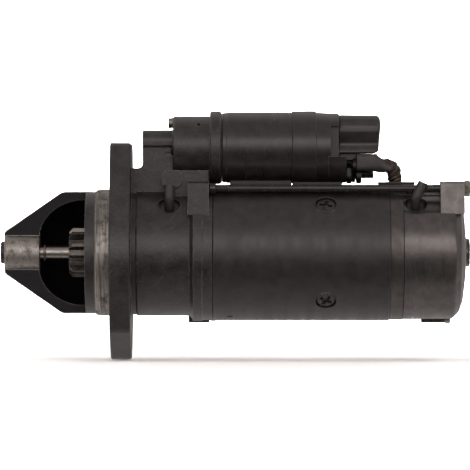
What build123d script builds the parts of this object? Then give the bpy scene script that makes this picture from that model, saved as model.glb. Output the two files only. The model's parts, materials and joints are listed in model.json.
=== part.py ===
from build123d import *

import os
from math import acos, cos, degrees, pi, radians, sin, sqrt, tan

# Gear-reduction starter motor, in millimetres.
#
# The shaft runs along X. The nose and the pinion point to -X, the solenoid lies above the motor (+Z),
# and the pinion window of the nose opens to -Y. The origin is the centre of the mounting spigot,
# in the plane of the flange's mounting face.

os.makedirs("parts", exist_ok=True)


# ---------------------------------------------------------------- driving dimensions

# Stations along the shaft
NOSE_X = -74.9  # front face of the nose boss
BOSS_END_X = -50.1  # rear face of the nose boss
WINDOW_END_X = -17.3  # rear edge of the pinion window
SPIGOT_X = -9.9  # front edge of the spigot; the spigot ends at the mounting face, X = 0
FLANGE_T = 14.8
HOUSING_END_X = 72.0  # joint between the drive end housing and the yoke
YOKE_END_X = 196.1
RIM_END_X = 205.0  # rear edge of the brush plate's rim
COVER_END_X = 251.4

# Radii about the shaft
SPIGOT_R = 44.5
NOSE_R = 43.0
BODY_R = 44.7
RING_R = 48.2  # flared rear edge of the drive end housing
YOKE_R = 47.9
YOKE_BORE_R = 43.0
RIM_R = 47.5
COVER_R = 46.9
COVER_BORE_R = 41.6

# Mounting flange
BOLT_HOLE_R = 6.5
BOLT_HOLE_Z = 62.0  # each mounting hole, above and below the shaft
NUT_RELIEF_R = 10.5
NUT_RELIEF_DEPTH = 7.0  # from the flange's rear face back, short of the fork's room

# Two long bolts clamp cover, brush plate and yoke to the drive end housing
THROUGH_R = 2.8
THROUGH_Y = 25.9
THROUGH_Z = 45.0
THROUGH_AT = [(-THROUGH_Y, THROUGH_Z), (THROUGH_Y, -THROUGH_Z)]
THROUGH_HEAD_X = [247.9, 236.9]  # seat of each bolt's head

# Solenoid, parallel to the shaft and straight above it
SOLENOID_Z = 74.1
SOLENOID_R = 25.0
SOLENOID_X = 81.9
SOLENOID_END_X = 127.8
CAP_END_X = 165.6

# Output shaft and drive
SHAFT_R = 5.0
PINION_X = -29.3
PINION_L = 20.0
PINION_TEETH = 10
PINION_MODULE = 3.0
DRIVE_TRAVEL = 16.0

# Shift fork: the arms' lengths from the pivot set the ratio of plunger travel to drive travel
PIVOT_X = 34.6
PIVOT_Z = 46.0
UPPER_ARM = SOLENOID_Z - PIVOT_Z
LOWER_ARM = PIVOT_Z
PLUNGER_TRAVEL = DRIVE_TRAVEL * UPPER_ARM / LOWER_ARM
FORK_LEAN = degrees(DRIVE_TRAVEL / LOWER_ARM) / 2  # at rest; the same the other way when engaged
GROOVE_X = PIVOT_X + LOWER_ARM * sin(radians(FORK_LEAN))
CLEVIS_PIN_X = PIVOT_X - UPPER_ARM * sin(radians(FORK_LEAN))

# Planetary reduction
GEAR_MODULE = 2.0
SUN_TEETH = 11
PLANET_TEETH = 13
RING_TEETH = SUN_TEETH + 2 * PLANET_TEETH
PLANET_COUNT = 3
PLANET_ORBIT = GEAR_MODULE * (SUN_TEETH + PLANET_TEETH) / 2
GEAR_X = 66.5
GEAR_W = 12.0
BACKLASH = 0.35

# Motor
POLE_X = 152.6  # middle of the pole shoes and of the armature core
POLE_L = 66.0
POLE_SCREW_X = 151.0
POLE_COUNT = 4
ARMATURE_R = 27.5
COMMUTATOR_R = 21.0
COMMUTATOR_X = 206.5
COMMUTATOR_L = 24.0
SLOTS = 16
BRUSH_X = 216.5

SHAFT_AXIS = Axis.X
SOLENOID_AXIS = Axis((0, 0, SOLENOID_Z), (1, 0, 0))
RUNNING = 0.05  # radial running clearance of a journal in its bush


# ---------------------------------------------------------------- helpers

def across(x):
    """The plane across the shaft at station x: its own x is +Y and its own y is +Z."""
    return Plane.YZ.offset(x)


def save(piece, name):
    """Label a finished piece and write its STEP file."""
    piece.part.label = name
    export_step(piece.part, f"parts/{name}.step")


def tube(x_start, x_end, r_out, r_in=0.0, y=0.0, z=0.0):
    """A round bar or tube along the shaft direction."""
    with BuildPart() as piece:
        with BuildSketch(across(x_start)):
            with Locations((y, z)):
                Circle(r_out)
                if r_in:
                    Circle(r_in, mode=Mode.SUBTRACT)
        extrude(amount=x_end - x_start)
    return piece


def involute(angle):
    return tan(angle) - angle


def tooth_half_angle(radius, teeth, module, thinner):
    """Half the angle that one involute tooth takes up at a radius; thinner is taken off its width."""
    pitch_r = module * teeth / 2
    base_r = pitch_r * cos(radians(20))
    at_radius = acos(min(1.0, base_r / radius))
    return pi / (2 * teeth) + involute(radians(20)) - involute(at_radius) - thinner / (2 * pitch_r)


def gear_outline(teeth, module, tip_r, root_r, thinner, phase=0.0):
    """Corner points of a gear, four to a tooth, with one tooth centred on the angle phase (degrees)."""
    points = []
    for tooth in range(teeth):
        middle = radians(phase) + 2 * pi * tooth / teeth
        for radius, side in ((root_r, -1), (tip_r, -1), (tip_r, 1), (root_r, 1)):
            angle = middle + side * tooth_half_angle(radius, teeth, module, thinner)
            points.append((radius * cos(angle), radius * sin(angle)))
    return points


def spoke(angle, radius):
    """Y and Z of a point at an angle from +Y, turning towards +Z."""
    return radius * cos(radians(angle)), radius * sin(radians(angle))


def outward(x, angle, radius):
    """A plane on the body's surface at an angle from +Y, facing straight out, its own x along the shaft."""
    y, z = spoke(angle, 1.0)
    return Plane(origin=(x, radius * y, radius * z), x_dir=(1, 0, 0), z_dir=(0, y, z))


# ---------------------------------------------------------------- drive end housing

FLANGE_CORNERS = [(28.0, 77.0), (65.4, -3.8), (39.3, -55.0), (5.0, -75.2)]
FLANGE_OUTLINE = FLANGE_CORNERS + [(-y, z) for y, z in reversed(FLANGE_CORNERS)]
TOWER_X = 22.6
TUBE_X = 43.8  # front of the tube that holds the plunger
SEAT_X = 69.9  # front of the ring that the solenoid is screwed to
SEAT_END_X = 78.4
CAVITY_R = 37.4
SOCKET_X = 54.0  # the gear train drops into the housing from here back
VENT_R = 7.8
FRONT_VENT = outward(41.7, 180 - 48.3, BODY_R)
REAR_VENT = outward(213.9, 180 - 49.6, COVER_R - 2.7)
LUG_OUTLINE = [(-40.0, 26.5), (-33.4, 48.4), (-30.4, 49.9), (-19.0, 49.9), (-16.0, 30.0)]  # upper lug, Y and Z
SCREW_ANGLES = [90, 195, 345]
SCREW_CIRCLE_R = 17.4
SCREW_SEAT_X = [TUBE_X, TUBE_X + 4.0, TUBE_X + 4.0]  # the lower two heads are sunk into the tube

with BuildPart() as drive_end_housing:
    with BuildSketch(Plane.YZ):
        with BuildLine():
            Polyline(*FLANGE_OUTLINE, close=True)
        make_face()
        fillet(vertices().filter_by(lambda v: abs(v.X) > 60), radius=55)
        fillet(vertices().filter_by(lambda v: abs(v.X) < 42), radius=8)
    extrude(amount=FLANGE_T)
    fillet(edges().group_by(Axis.X)[0] + edges().group_by(Axis.X)[-1], radius=1.4)

    # Nose cone, spigot, body and flared rear edge, turned about the shaft
    with BuildSketch(Plane.XZ):
        with BuildLine():
            Polyline(
                (NOSE_X, 0),
                (NOSE_X, 14.4),
                (NOSE_X + 1.2, 15.8),
                (-34.3, NOSE_R),
                (SPIGOT_X - 1.0, NOSE_R),
                (SPIGOT_X, SPIGOT_R - 0.6),
                (SPIGOT_X + 0.6, SPIGOT_R),
                (1.0, SPIGOT_R),
                (1.0, BODY_R - 0.9),
                (FLANGE_T + 3.6, BODY_R - 0.9),
                (FLANGE_T + 4.2, BODY_R),
                (55.8, BODY_R),
                (58.4, RING_R),
                (64.3, RING_R),
                (64.9, RING_R - 0.5),
                (HOUSING_END_X - 0.5, RING_R - 0.5),
                (HOUSING_END_X, RING_R - 1.0),
                (HOUSING_END_X, 0),
                close=True,
            )
        make_face()
        fillet(vertices().filter_by(lambda v: abs(v.X + 34.3) < 0.1), radius=7)
    revolve(axis=SHAFT_AXIS)

    # Pedestal and tower over the shift fork
    with BuildSketch(Plane.XY.offset(30)):
        with Locations(((FLANGE_T + TUBE_X) / 2, 0)):
            Rectangle(TUBE_X - FLANGE_T + 1, 26)
    extrude(amount=29.5)
    with BuildSketch(across(TOWER_X)):
        with Locations((0, 67)):
            Rectangle(26, 20)
    extrude(amount=TUBE_X - TOWER_X)
    fillet(
        edges().filter_by(Axis.Y).filter_by_position(Axis.X, TOWER_X - 0.1, TOWER_X + 0.1)
        .filter_by_position(Axis.Z, 59, 60),
        radius=3,
    )
    with BuildSketch(across(TOWER_X)):
        with Locations((0, 80.3)):
            Rectangle(33, 12)
        fillet(vertices().group_by(Axis.Y)[-1], radius=8)
        fillet(vertices().group_by(Axis.Y)[0], radius=1.5)
    extrude(amount=TUBE_X - TOWER_X)

    # Pedestal, tube and seat ring of the solenoid
    with BuildSketch(Plane.XY.offset(30)):
        with Locations(((TUBE_X + SEAT_X) / 2 - 0.5, 0)):
            RectangleRounded(SEAT_X - TUBE_X + 1, 41, 3)
    extrude(amount=27.6)
    with BuildSketch(Plane.XZ):
        with BuildLine():
            Polyline(
                (TUBE_X, SOLENOID_Z),
                (TUBE_X, SOLENOID_Z + 21.0),
                (TUBE_X + 1.2, SOLENOID_Z + 22.2),
                (SEAT_X, SOLENOID_Z + 22.2),
                (SEAT_X, SOLENOID_Z + 24.8),
                (SEAT_X + 1.2, SOLENOID_Z + 25.8),
                (SEAT_END_X - 1.4, SOLENOID_Z + 25.8),
                (SEAT_END_X, SOLENOID_Z + 24.4),
                (SEAT_END_X, SOLENOID_Z),
                close=True,
            )
        make_face()
    revolve(axis=SOLENOID_AXIS)

    # Lugs that the through bolts screw into, each with a wide flat flank
    for y, z in THROUGH_AT:
        with BuildSketch(across(54.6)):
            Polygon(*[(p * y / -THROUGH_Y, q * z / THROUGH_Z) for p, q in LUG_OUTLINE], align=None)
        extrude(amount=14.8)

    # Ear above the front vent
    with BuildSketch(Plane.XZ.offset(21.8)):
        with Locations((43.2, 51.5)):
            RectangleRounded(14.6, 12.6, 4.5)
    extrude(amount=-9.4)

    # Hollow of nose and body
    with BuildSketch(Plane.XZ):
        with BuildLine():
            Polyline(
                (BOSS_END_X, 0),
                (BOSS_END_X, 15.4),
                (-48.6, 20.0),
                (-46.0, 24.4),
                (-42.6, 28.4),
                (-38.6, 31.6),
                (-34.0, 34.2),
                (-28.8, 36.2),
                (-23.0, CAVITY_R),
                (18.0, CAVITY_R),
                (20.0, 39.0),
                (SOCKET_X, 39.0),
                (SOCKET_X, YOKE_BORE_R),
                (HOUSING_END_X, YOKE_BORE_R),
                (HOUSING_END_X, 0),
                close=True,
            )
        make_face()
    revolve(axis=SHAFT_AXIS, mode=Mode.SUBTRACT)

    # Pinion window, with the nose boss left standing in it
    with Locations(((NOSE_X + WINDOW_END_X) / 2 - 2, -36, 0)):
        Box(WINDOW_END_X - NOSE_X + 4, 60, 100, mode=Mode.SUBTRACT)
    with BuildSketch(Plane.XZ):
        with BuildLine():
            Polyline(
                (NOSE_X, 0),
                (NOSE_X, 11.9),
                (NOSE_X + 1.4, 13.35),
                (BOSS_END_X, 13.35),
                (BOSS_END_X, 0),
                close=True,
            )
        make_face()
    revolve(axis=SHAFT_AXIS)
    with BuildSketch(across(NOSE_X)):
        Circle(7.0)
    extrude(amount=BOSS_END_X - NOSE_X, mode=Mode.SUBTRACT)

    # Room for the fork in the tower, and for the plunger in the tube
    with BuildSketch(Plane.XY.offset(30)):
        with Locations((35.65, 0)):
            Rectangle(21.7, 17)
    extrude(amount=52.5, mode=Mode.SUBTRACT)
    with BuildSketch(across(TUBE_X - 1)):
        with Locations((0, SOLENOID_Z)):
            Circle(13.9)
    extrude(amount=SEAT_END_X - TUBE_X + 1, mode=Mode.SUBTRACT)

    # Mounting holes, bolt threads, solenoid screw holes, pivot hole and vent recess
    with BuildSketch(Plane.YZ):
        with GridLocations(1, 2 * BOLT_HOLE_Z, 1, 2):
            Circle(BOLT_HOLE_R)
    extrude(amount=FLANGE_T, mode=Mode.SUBTRACT)
    # Relief in the pedestal for the nut on the upper mounting hole
    with BuildSketch(across(FLANGE_T)):
        with Locations((0, BOLT_HOLE_Z)):
            Circle(NUT_RELIEF_R)
    extrude(amount=NUT_RELIEF_DEPTH, mode=Mode.SUBTRACT)
    with BuildSketch(across(57.0)):
        with Locations(*THROUGH_AT):
            Circle(THROUGH_R)
    extrude(amount=13, mode=Mode.SUBTRACT)
    for angle, seat_x in zip(SCREW_ANGLES, SCREW_SEAT_X):
        y, z = spoke(angle, SCREW_CIRCLE_R)
        with BuildSketch(across(TUBE_X)):
            with Locations((y, z + SOLENOID_Z)):
                Circle(2.7)
        extrude(amount=SEAT_END_X - TUBE_X, mode=Mode.SUBTRACT)
        if seat_x > TUBE_X:
            with BuildSketch(across(TUBE_X - 5)):
                with Locations((y, z + SOLENOID_Z)):
                    Circle(4.0)
            extrude(amount=seat_x - TUBE_X + 5, mode=Mode.SUBTRACT)
    with BuildSketch(Plane.XZ.offset(10.5)):
        with Locations((PIVOT_X, PIVOT_Z)):
            Circle(3.5)
    extrude(amount=-24, mode=Mode.SUBTRACT)
    with BuildSketch(FRONT_VENT):
        Circle(VENT_R)
    extrude(amount=-3.2, mode=Mode.SUBTRACT)
    with BuildSketch(Plane(origin=(62.1, -15.6, SOLENOID_Z + 16.0), x_dir=(1, 0, 0), z_dir=(0, -0.7, 0.714))):
        Circle(1.5)
    extrude(amount=-1.8, mode=Mode.SUBTRACT)
save(drive_end_housing, "drive_end_housing")

BUSH_IN = SHAFT_R + RUNNING

# ---------------------------------------------------------------- output shaft, carrier and planets

SPLINE_START = -8.0
SPLINE_END = 47.4
SPLINE_TEETH = 10
SLEEVE_BORE_R = 7.9
CARRIER_X = 59.3
CARRIER_END_X = 65.6
PIN_R = 4.0
PILOT_R = 6.0

with BuildPart() as drive_shaft:
    with BuildSketch(Plane.XZ):
        with BuildLine():
            Polyline(
                (-72.6, 0),
                (-72.6, 4.4),
                (-72.0, SHAFT_R),
                (-47.3, SHAFT_R),
                (-47.3, 4.2),
                (-46.0, 4.2),
                (-46.0, SHAFT_R),
                (SPLINE_START, SHAFT_R),
                (SPLINE_START, 6.2),
                (SPLINE_END, 6.2),
                (SPLINE_END, 8.5),
                (CARRIER_X, 8.5),
                (CARRIER_X, 30.0),
                (CARRIER_END_X, 30.0),
                (CARRIER_END_X, 0),
                close=True,
            )
        make_face()
    revolve(axis=SHAFT_AXIS)
    with BuildSketch(across(SPLINE_START)):
        with PolarLocations(6.4, SPLINE_TEETH):
            Rectangle(2.2, 2.0)
    extrude(amount=SPLINE_END - SPLINE_START)
    with BuildSketch(across(CARRIER_X + 0.6)):
        Circle(8.0)
    extrude(amount=CARRIER_END_X - CARRIER_X, mode=Mode.SUBTRACT)
    with BuildSketch(across(CARRIER_X)):
        with PolarLocations(PLANET_ORBIT, PLANET_COUNT, start_angle=90):
            Circle(PIN_R)
    extrude(amount=CARRIER_END_X - CARRIER_X, mode=Mode.SUBTRACT)
save(drive_shaft, "drive_shaft")

pilot_bush = tube(CARRIER_X + 0.6, CARRIER_END_X, 8.0, PILOT_R + RUNNING)
save(pilot_bush, "pilot_bush")

with BuildPart() as planet_pins:
    with BuildSketch(across(CARRIER_X)):
        with PolarLocations(PLANET_ORBIT, PLANET_COUNT, start_angle=90):
            Circle(PIN_R)
    extrude(amount=GEAR_X + GEAR_W + 1.2 - CARRIER_X)
    chamfer(edges().group_by(Axis.X)[-1], length=0.6)
save(planet_pins, "planet_pins")

SUN_TIP_R = GEAR_MODULE * (SUN_TEETH / 2 + 0.8)
SUN_ROOT_R = GEAR_MODULE * (SUN_TEETH / 2 - 1.0)
PLANET_TIP_R = GEAR_MODULE * (PLANET_TEETH / 2 + 0.8)
PLANET_ROOT_R = GEAR_MODULE * (PLANET_TEETH / 2 - 1.0)
RING_TIP_R = GEAR_MODULE * (RING_TEETH / 2 - 0.8)
RING_ROOT_R = GEAR_MODULE * (RING_TEETH / 2 + 1.0)
SUN_PITCH = 360 / SUN_TEETH
PLANET_PITCH = 360 / PLANET_TEETH
RING_PITCH = 360 / RING_TEETH


def planet_phase(direction):
    """Angle of one planet tooth so that it meshes with a sun tooth that stands at angle 0."""
    return direction + 180 - PLANET_PITCH * (0.5 - direction / SUN_PITCH)


for number in range(1, PLANET_COUNT + 1):
    direction = 90 + 120 * (number - 1)
    y, z = spoke(direction, PLANET_ORBIT)
    with BuildPart() as planet_gear:
        with BuildSketch(across(GEAR_X)):
            with Locations((y, z)):
                Polygon(
                    *gear_outline(
                        PLANET_TEETH, GEAR_MODULE, PLANET_TIP_R, PLANET_ROOT_R, BACKLASH,
                        planet_phase(direction),
                    ),
                    align=None,
                )
                Circle(PIN_R + RUNNING, mode=Mode.SUBTRACT)
        extrude(amount=GEAR_W)
    save(planet_gear, f"planet_gear_{number}")

# The ring gear's spaces are cut with the outline of an equal external gear
space_phase = 90 - RING_PITCH * (90 - planet_phase(90)) / PLANET_PITCH
with BuildPart() as ring_gear:
    with BuildSketch(across(58.4)):
        Circle(YOKE_BORE_R - 0.1)
        Circle(RING_ROOT_R - 1.5, mode=Mode.SUBTRACT)
    extrude(amount=GEAR_X - 0.6 - 58.4)
    with BuildSketch(across(GEAR_X - 0.6)):
        Circle(YOKE_BORE_R - 0.1)
        Polygon(
            *gear_outline(RING_TEETH, GEAR_MODULE, RING_ROOT_R, RING_TIP_R, -BACKLASH, space_phase),
            align=None,
            mode=Mode.SUBTRACT,
        )
    extrude(amount=GEAR_W + 2.4)
save(ring_gear, "ring_gear")

# Partition that carries the middle of the output shaft
with BuildPart() as intermediate_bracket:
    with BuildSketch(Plane.XZ):
        with BuildLine():
            Polyline(
                (49.2, 10.5),
                (49.2, 15.0),
                (54.0, 20.0),
                (54.0, YOKE_BORE_R - 0.1),
                (58.2, YOKE_BORE_R - 0.1),
                (58.2, 10.5),
                close=True,
            )
        make_face()
    revolve(axis=SHAFT_AXIS)
save(intermediate_bracket, "intermediate_bracket")

cover_plate = tube(81.2, 83.2, YOKE_BORE_R - 0.1, 10.0)
save(cover_plate, "gear_cover_plate")


# ---------------------------------------------------------------- pinion, clutch and fork

RACE_R = 13.0
CLUTCH_X = -7.2
CLUTCH_END_X = 22.0
CLUTCH_R = 29.0
SLEEVE_R = 11.2
ROLLER_R = 3.3
ROLLER_ORBIT = RACE_R + 0.3 + ROLLER_R
ROLLERS = 6
RACE_END_X = 12.0
COLLAR_X = GROOVE_X - 6.6
COLLAR_END_X = GROOVE_X + 4.2
SLEEVE_END_X = GROOVE_X + 4.4

with BuildPart() as pinion:
    with BuildSketch(across(PINION_X)):
        Polygon(
            *gear_outline(PINION_TEETH, PINION_MODULE, 17.3, 11.9, 0.5, 90.0),
            align=None,
        )
    extrude(amount=PINION_L)
    # lead-in chamfer at the front ends of the teeth
    with BuildSketch(Plane.XZ):
        with BuildLine():
            Polyline((PINION_X, 14.6), (PINION_X, 19.0), (PINION_X + 4.2, 19.0), (PINION_X + 2.6, 17.4), close=True)
        make_face()
    revolve(axis=SHAFT_AXIS, mode=Mode.SUBTRACT)
    with BuildSketch(across(PINION_X + PINION_L)):
        Circle(RACE_R)
    extrude(amount=RACE_END_X - PINION_X - PINION_L)
    with BuildSketch(across(PINION_X)):
        Circle(BUSH_IN)
    extrude(amount=PINION_L + 20, mode=Mode.SUBTRACT)
    with BuildSketch(across(SPLINE_START - 0.8)):
        Circle(SLEEVE_BORE_R)
    extrude(amount=RACE_END_X + 10, mode=Mode.SUBTRACT)
save(pinion, "pinion")

with BuildPart() as clutch_shell:
    with BuildSketch(Plane.XZ):
        with BuildLine():
            Polyline(
                (CLUTCH_X, 17.0),
                (CLUTCH_X, 26.0),
                (12.6, 26.0),
                (14.0, CLUTCH_R - 4.5),
                (CLUTCH_END_X - 4.0, 22.0),
                (CLUTCH_END_X - 2.0, SLEEVE_R),
                (SLEEVE_END_X, SLEEVE_R),
                (SLEEVE_END_X, SLEEVE_BORE_R),
                (12.6, SLEEVE_BORE_R),
                (12.6, 17.0),
                close=True,
            )
        make_face()
    revolve(axis=SHAFT_AXIS)
    # wedge pockets of the rollers
    with BuildSketch(across(CLUTCH_X)):
        with PolarLocations(ROLLER_ORBIT, ROLLERS):
            Circle(ROLLER_R + 0.25)
            with Locations((0.6, 1.9)):
                Circle(ROLLER_R - 0.2)
        Circle(RACE_R + 0.2, mode=Mode.SUBTRACT)
    extrude(amount=12.6 - CLUTCH_X, mode=Mode.SUBTRACT)
    # splines inside the sleeve, between those of the shaft
    with BuildSketch(across(14.0)):
        with PolarLocations(7.3, SPLINE_TEETH, start_angle=180 / SPLINE_TEETH):
            Rectangle(1.4, 1.3)
    extrude(amount=SLEEVE_END_X - 14.0)
save(clutch_shell, "clutch_shell")

with BuildPart() as clutch_rollers:
    with BuildSketch(across(CLUTCH_X + 1.0)):
        with PolarLocations(ROLLER_ORBIT, ROLLERS):
            Circle(ROLLER_R)
    extrude(amount=10.5)
save(clutch_rollers, "clutch_rollers")

# Pressed sheet cup that closes the clutch
with BuildPart() as clutch_cover:
    with BuildSketch(Plane.XZ):
        with BuildLine():
            Polyline(
                (CLUTCH_X - 1.5, RACE_R + 0.4),
                (CLUTCH_X - 1.5, 26.4),
                (CLUTCH_X - 0.4, 27.5),
                (12.6, 27.5),
                (12.6, 26.05),
                (CLUTCH_X, 26.05),
                (CLUTCH_X, RACE_R + 0.4),
                close=True,
            )
        make_face()
    revolve(axis=SHAFT_AXIS)
save(clutch_cover, "clutch_cover")

with BuildPart() as guide_collar:
    with BuildSketch(Plane.XZ):
        with BuildLine():
            Polyline(
                (COLLAR_X, SLEEVE_R + 0.05),
                (COLLAR_X, 19.0),
                (GROOVE_X - 3.4, 19.0),
                (GROOVE_X - 3.4, 15.0),
                (GROOVE_X + 3.4, 15.0),
                (GROOVE_X + 3.4, 19.0),
                (COLLAR_END_X, 19.0),
                (COLLAR_END_X, SLEEVE_R + 0.05),
                close=True,
            )
        make_face()
    revolve(axis=SHAFT_AXIS)
save(guide_collar, "guide_collar")


def coil_spring(x_start, x_end, coil_r, wire_r, turns, y=0.0, z=0.0):
    """A coil spring along the shaft direction."""
    length = x_end - x_start - 2 * wire_r
    with BuildPart() as spring:
        with BuildLine() as run:
            Helix(
                pitch=length / turns, height=length, radius=coil_r,
                center=(x_start + wire_r, y, z), direction=(1, 0, 0),
            )
        with BuildSketch(Plane(origin=run.line @ 0, z_dir=run.line % 0)):
            Circle(wire_r)
        sweep()
    return spring


meshing_spring = coil_spring(CLUTCH_END_X - 1.7, COLLAR_X - 0.1, 13.2, 1.1, 3.5)
save(meshing_spring, "meshing_spring")

with BuildPart() as stop_ring:
    with BuildSketch(across(-47.2)):
        Circle(7.0)
        Circle(SHAFT_R + 0.02, mode=Mode.SUBTRACT)
        with Locations((8, 0)):
            Rectangle(8, 1.6, mode=Mode.SUBTRACT)
    extrude(amount=1.2)
save(stop_ring, "stop_ring")

# Shift fork, drawn in its own leaned plane: local y runs up the lever, extrusions run along the pivot
LEVER_T = 5.6
LEAN = radians(FORK_LEAN)
FORK_PLANE = Plane(origin=(PIVOT_X, 0, PIVOT_Z), x_dir=(cos(LEAN), 0, sin(LEAN)), z_dir=(0, -1, 0))
ARM_IN_Y = 19.4
ARM_T = 4.6
PAD_R = 2.9

with BuildPart() as shift_fork:
    with BuildSketch(FORK_PLANE):
        with BuildSketch(mode=Mode.PRIVATE) as lever:
            Circle(7.0)
            with Locations((0, UPPER_ARM)):
                Circle(4.6)
            make_hull()
        add(lever.sketch)
        with Locations((0, -10)):
            Rectangle(11, 20)
    extrude(amount=LEVER_T / 2, both=True)
    with BuildSketch(FORK_PLANE):
        with Locations((0, -20.5)):
            RectangleRounded(7, 7, 1)
    extrude(amount=ARM_IN_Y + ARM_T, both=True)
    for inner_face in (ARM_IN_Y, -ARM_IN_Y - ARM_T):
        with BuildSketch(FORK_PLANE.offset(inner_face)):
            with Locations((0, -24)):
                Circle(3.4)
            with Locations((0, -LOWER_ARM)):
                Circle(5.0)
            make_hull()
        extrude(amount=ARM_T)
    for inner_face in (15.6, -20.6):
        with BuildSketch(FORK_PLANE.offset(inner_face)):
            with Locations((0, -LOWER_ARM)):
                Circle(PAD_R)
        extrude(amount=5.0)
    with BuildSketch(FORK_PLANE):
        Circle(3.5 + RUNNING)
        with Locations((0, UPPER_ARM)):
            SlotOverall(7.2, 5.6, rotation=90)
    extrude(amount=10, both=True, mode=Mode.SUBTRACT)
save(shift_fork, "shift_fork")

with BuildPart() as fork_pivot_pin:
    with BuildSketch(Plane.XZ.offset(10.4)):
        with Locations((PIVOT_X, PIVOT_Z)):
            Circle(3.5)
    extrude(amount=-23.0)
    chamfer(edges().filter_by(GeomType.CIRCLE), length=0.4)
save(fork_pivot_pin, "fork_pivot_pin")


# ---------------------------------------------------------------- motor

FIELD_R = 28.3  # inside of the pole shoes
SCREW_HOLE_R = 4.0
SCREW_HEAD_R = 7.2
POLE_ANGLES = [45, 135, 225, 315]
GROMMET_X = 200.9  # middle of the grommet where the field lead goes in
GROMMET_L = 25.2
GROMMET_W = 15.0
LEAD_Y = -12.0


def sector(inner_r, outer_r, half_angle, at_angle):
    """Corner points of a wedge of a ring, its arcs drawn in short steps."""
    steps = [at_angle + half_angle * step / 6 for step in range(-6, 7)]
    return [spoke(a, outer_r) for a in steps] + [spoke(a, inner_r) for a in reversed(steps)]


with BuildPart() as yoke:
    with BuildSketch(Plane.XZ):
        with BuildLine():
            Polyline(
                (HOUSING_END_X, YOKE_BORE_R),
                (HOUSING_END_X, YOKE_R - 0.6),
                (HOUSING_END_X + 0.6, YOKE_R),
                (YOKE_END_X - 0.6, YOKE_R),
                (YOKE_END_X, YOKE_R - 0.6),
                (YOKE_END_X, YOKE_BORE_R),
                close=True,
            )
        make_face()
    revolve(axis=SHAFT_AXIS)
    for angle in POLE_ANGLES:
        with BuildSketch(outward(POLE_SCREW_X, angle, YOKE_R + 1)):
            Circle(SCREW_HOLE_R)
        extrude(amount=-10, mode=Mode.SUBTRACT)
        with BuildSketch(outward(POLE_SCREW_X, angle, YOKE_R + 1)):
            Circle(SCREW_HEAD_R)
        extrude(amount=-3.6, mode=Mode.SUBTRACT)
    # notch for the field lead's grommet, and the locating slot near the housing
    with Locations((GROMMET_X, LEAD_Y, YOKE_R)):
        Box(GROMMET_L, GROMMET_W, 14, mode=Mode.SUBTRACT)
    with BuildSketch(outward(84.0, 249, YOKE_R + 1)):
        SlotOverall(4.6, 2.2)
    extrude(amount=-3.2, mode=Mode.SUBTRACT)
save(yoke, "yoke")

with BuildPart() as pole_shoes:
    with BuildSketch(across(POLE_X - POLE_L / 2)):
        for angle in POLE_ANGLES:
            Polygon(*sector(FIELD_R, 32.0, 33, angle), align=None)
            Polygon(*sector(31.5, YOKE_BORE_R - 0.1, 18, angle), align=None)
    extrude(amount=POLE_L)
    for angle in POLE_ANGLES:
        with BuildSketch(outward(POLE_SCREW_X, angle, YOKE_R)):
            Circle(SCREW_HOLE_R)
        extrude(amount=-14.5, mode=Mode.SUBTRACT)
save(pole_shoes, "pole_shoes")

with BuildPart() as field_coils:
    with BuildSketch(across(POLE_X - POLE_L / 2 - 8)):
        for angle in POLE_ANGLES:
            Polygon(*sector(32.4, YOKE_BORE_R - 0.6, 32, angle), align=None)
    extrude(amount=POLE_L + 16)
    with BuildSketch(across(POLE_X - POLE_L / 2 - 0.5)):
        for angle in POLE_ANGLES:
            Polygon(*sector(30.0, YOKE_BORE_R + 1, 19.2, angle), align=None)
    extrude(amount=POLE_L + 1, mode=Mode.SUBTRACT)
save(field_coils, "field_coils")

with BuildPart() as pole_screws:
    for angle in POLE_ANGLES:
        with BuildSketch(outward(POLE_SCREW_X, angle, YOKE_R - 2.6)):
            Circle(SCREW_HEAD_R - 0.4)
        extrude(amount=1.9, taper=25)
        with BuildSketch(outward(POLE_SCREW_X, angle, YOKE_R - 1.2)):
            Circle(SCREW_HOLE_R)
        extrude(amount=-12.6)
        with BuildSketch(outward(POLE_SCREW_X, angle, YOKE_R + 0.5)):
            Rectangle(9.0, 2.2, rotation=12)
            Rectangle(2.2, 9.0, rotation=12)
        extrude(amount=-3.4, mode=Mode.SUBTRACT)
save(pole_screws, "pole_screws")

with BuildPart() as armature_shaft:
    with BuildSketch(Plane.XZ):
        with BuildLine():
            Polyline(
                (CARRIER_X + 1.2, 0),
                (CARRIER_X + 1.2, PILOT_R),
                (GEAR_X - 0.4, PILOT_R),
                (GEAR_X - 0.4, SUN_ROOT_R),
                (104, SUN_ROOT_R),
                (104, 9.6),
                (232, 9.6),
                (232, 7.0),
                (248.2, 7.0),
                (249.0, 6.2),
                (249.0, 0),
                close=True,
            )
        make_face()
    revolve(axis=SHAFT_AXIS)
    with BuildSketch(across(GEAR_X - 0.4)):
        Polygon(*gear_outline(SUN_TEETH, GEAR_MODULE, SUN_TIP_R, SUN_ROOT_R, BACKLASH), align=None)
    extrude(amount=GEAR_W + 0.9)
save(armature_shaft, "armature_shaft")

with BuildPart() as armature_core:
    with BuildSketch(across(POLE_X - POLE_L / 2)):
        Circle(ARMATURE_R)
        with PolarLocations(ARMATURE_R - 4.2, SLOTS):
            Rectangle(9.4, 3.4, mode=Mode.SUBTRACT)
        Circle(9.6, mode=Mode.SUBTRACT)
    extrude(amount=POLE_L)
save(armature_core, "armature_core")

with BuildPart() as armature_winding:
    with BuildSketch(across(POLE_X - POLE_L / 2 - 2)):
        with PolarLocations(ARMATURE_R - 5.0, SLOTS):
            Rectangle(7.0, 3.0)
    extrude(amount=POLE_L + 4)
    with BuildSketch(Plane.XZ):
        with BuildLine():
            Polyline((109.0, 14), (107.6, 17), (109.0, 26.4), (118.6, 26.4), (118.6, 14), close=True)
        make_face()
        with BuildLine():
            Polyline((186.6, 14), (186.6, 26.4), (196.0, 26.4), (200.6, 23.6), (200.6, 14), close=True)
        make_face()
    revolve(axis=SHAFT_AXIS)
save(armature_winding, "armature_winding")

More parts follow.
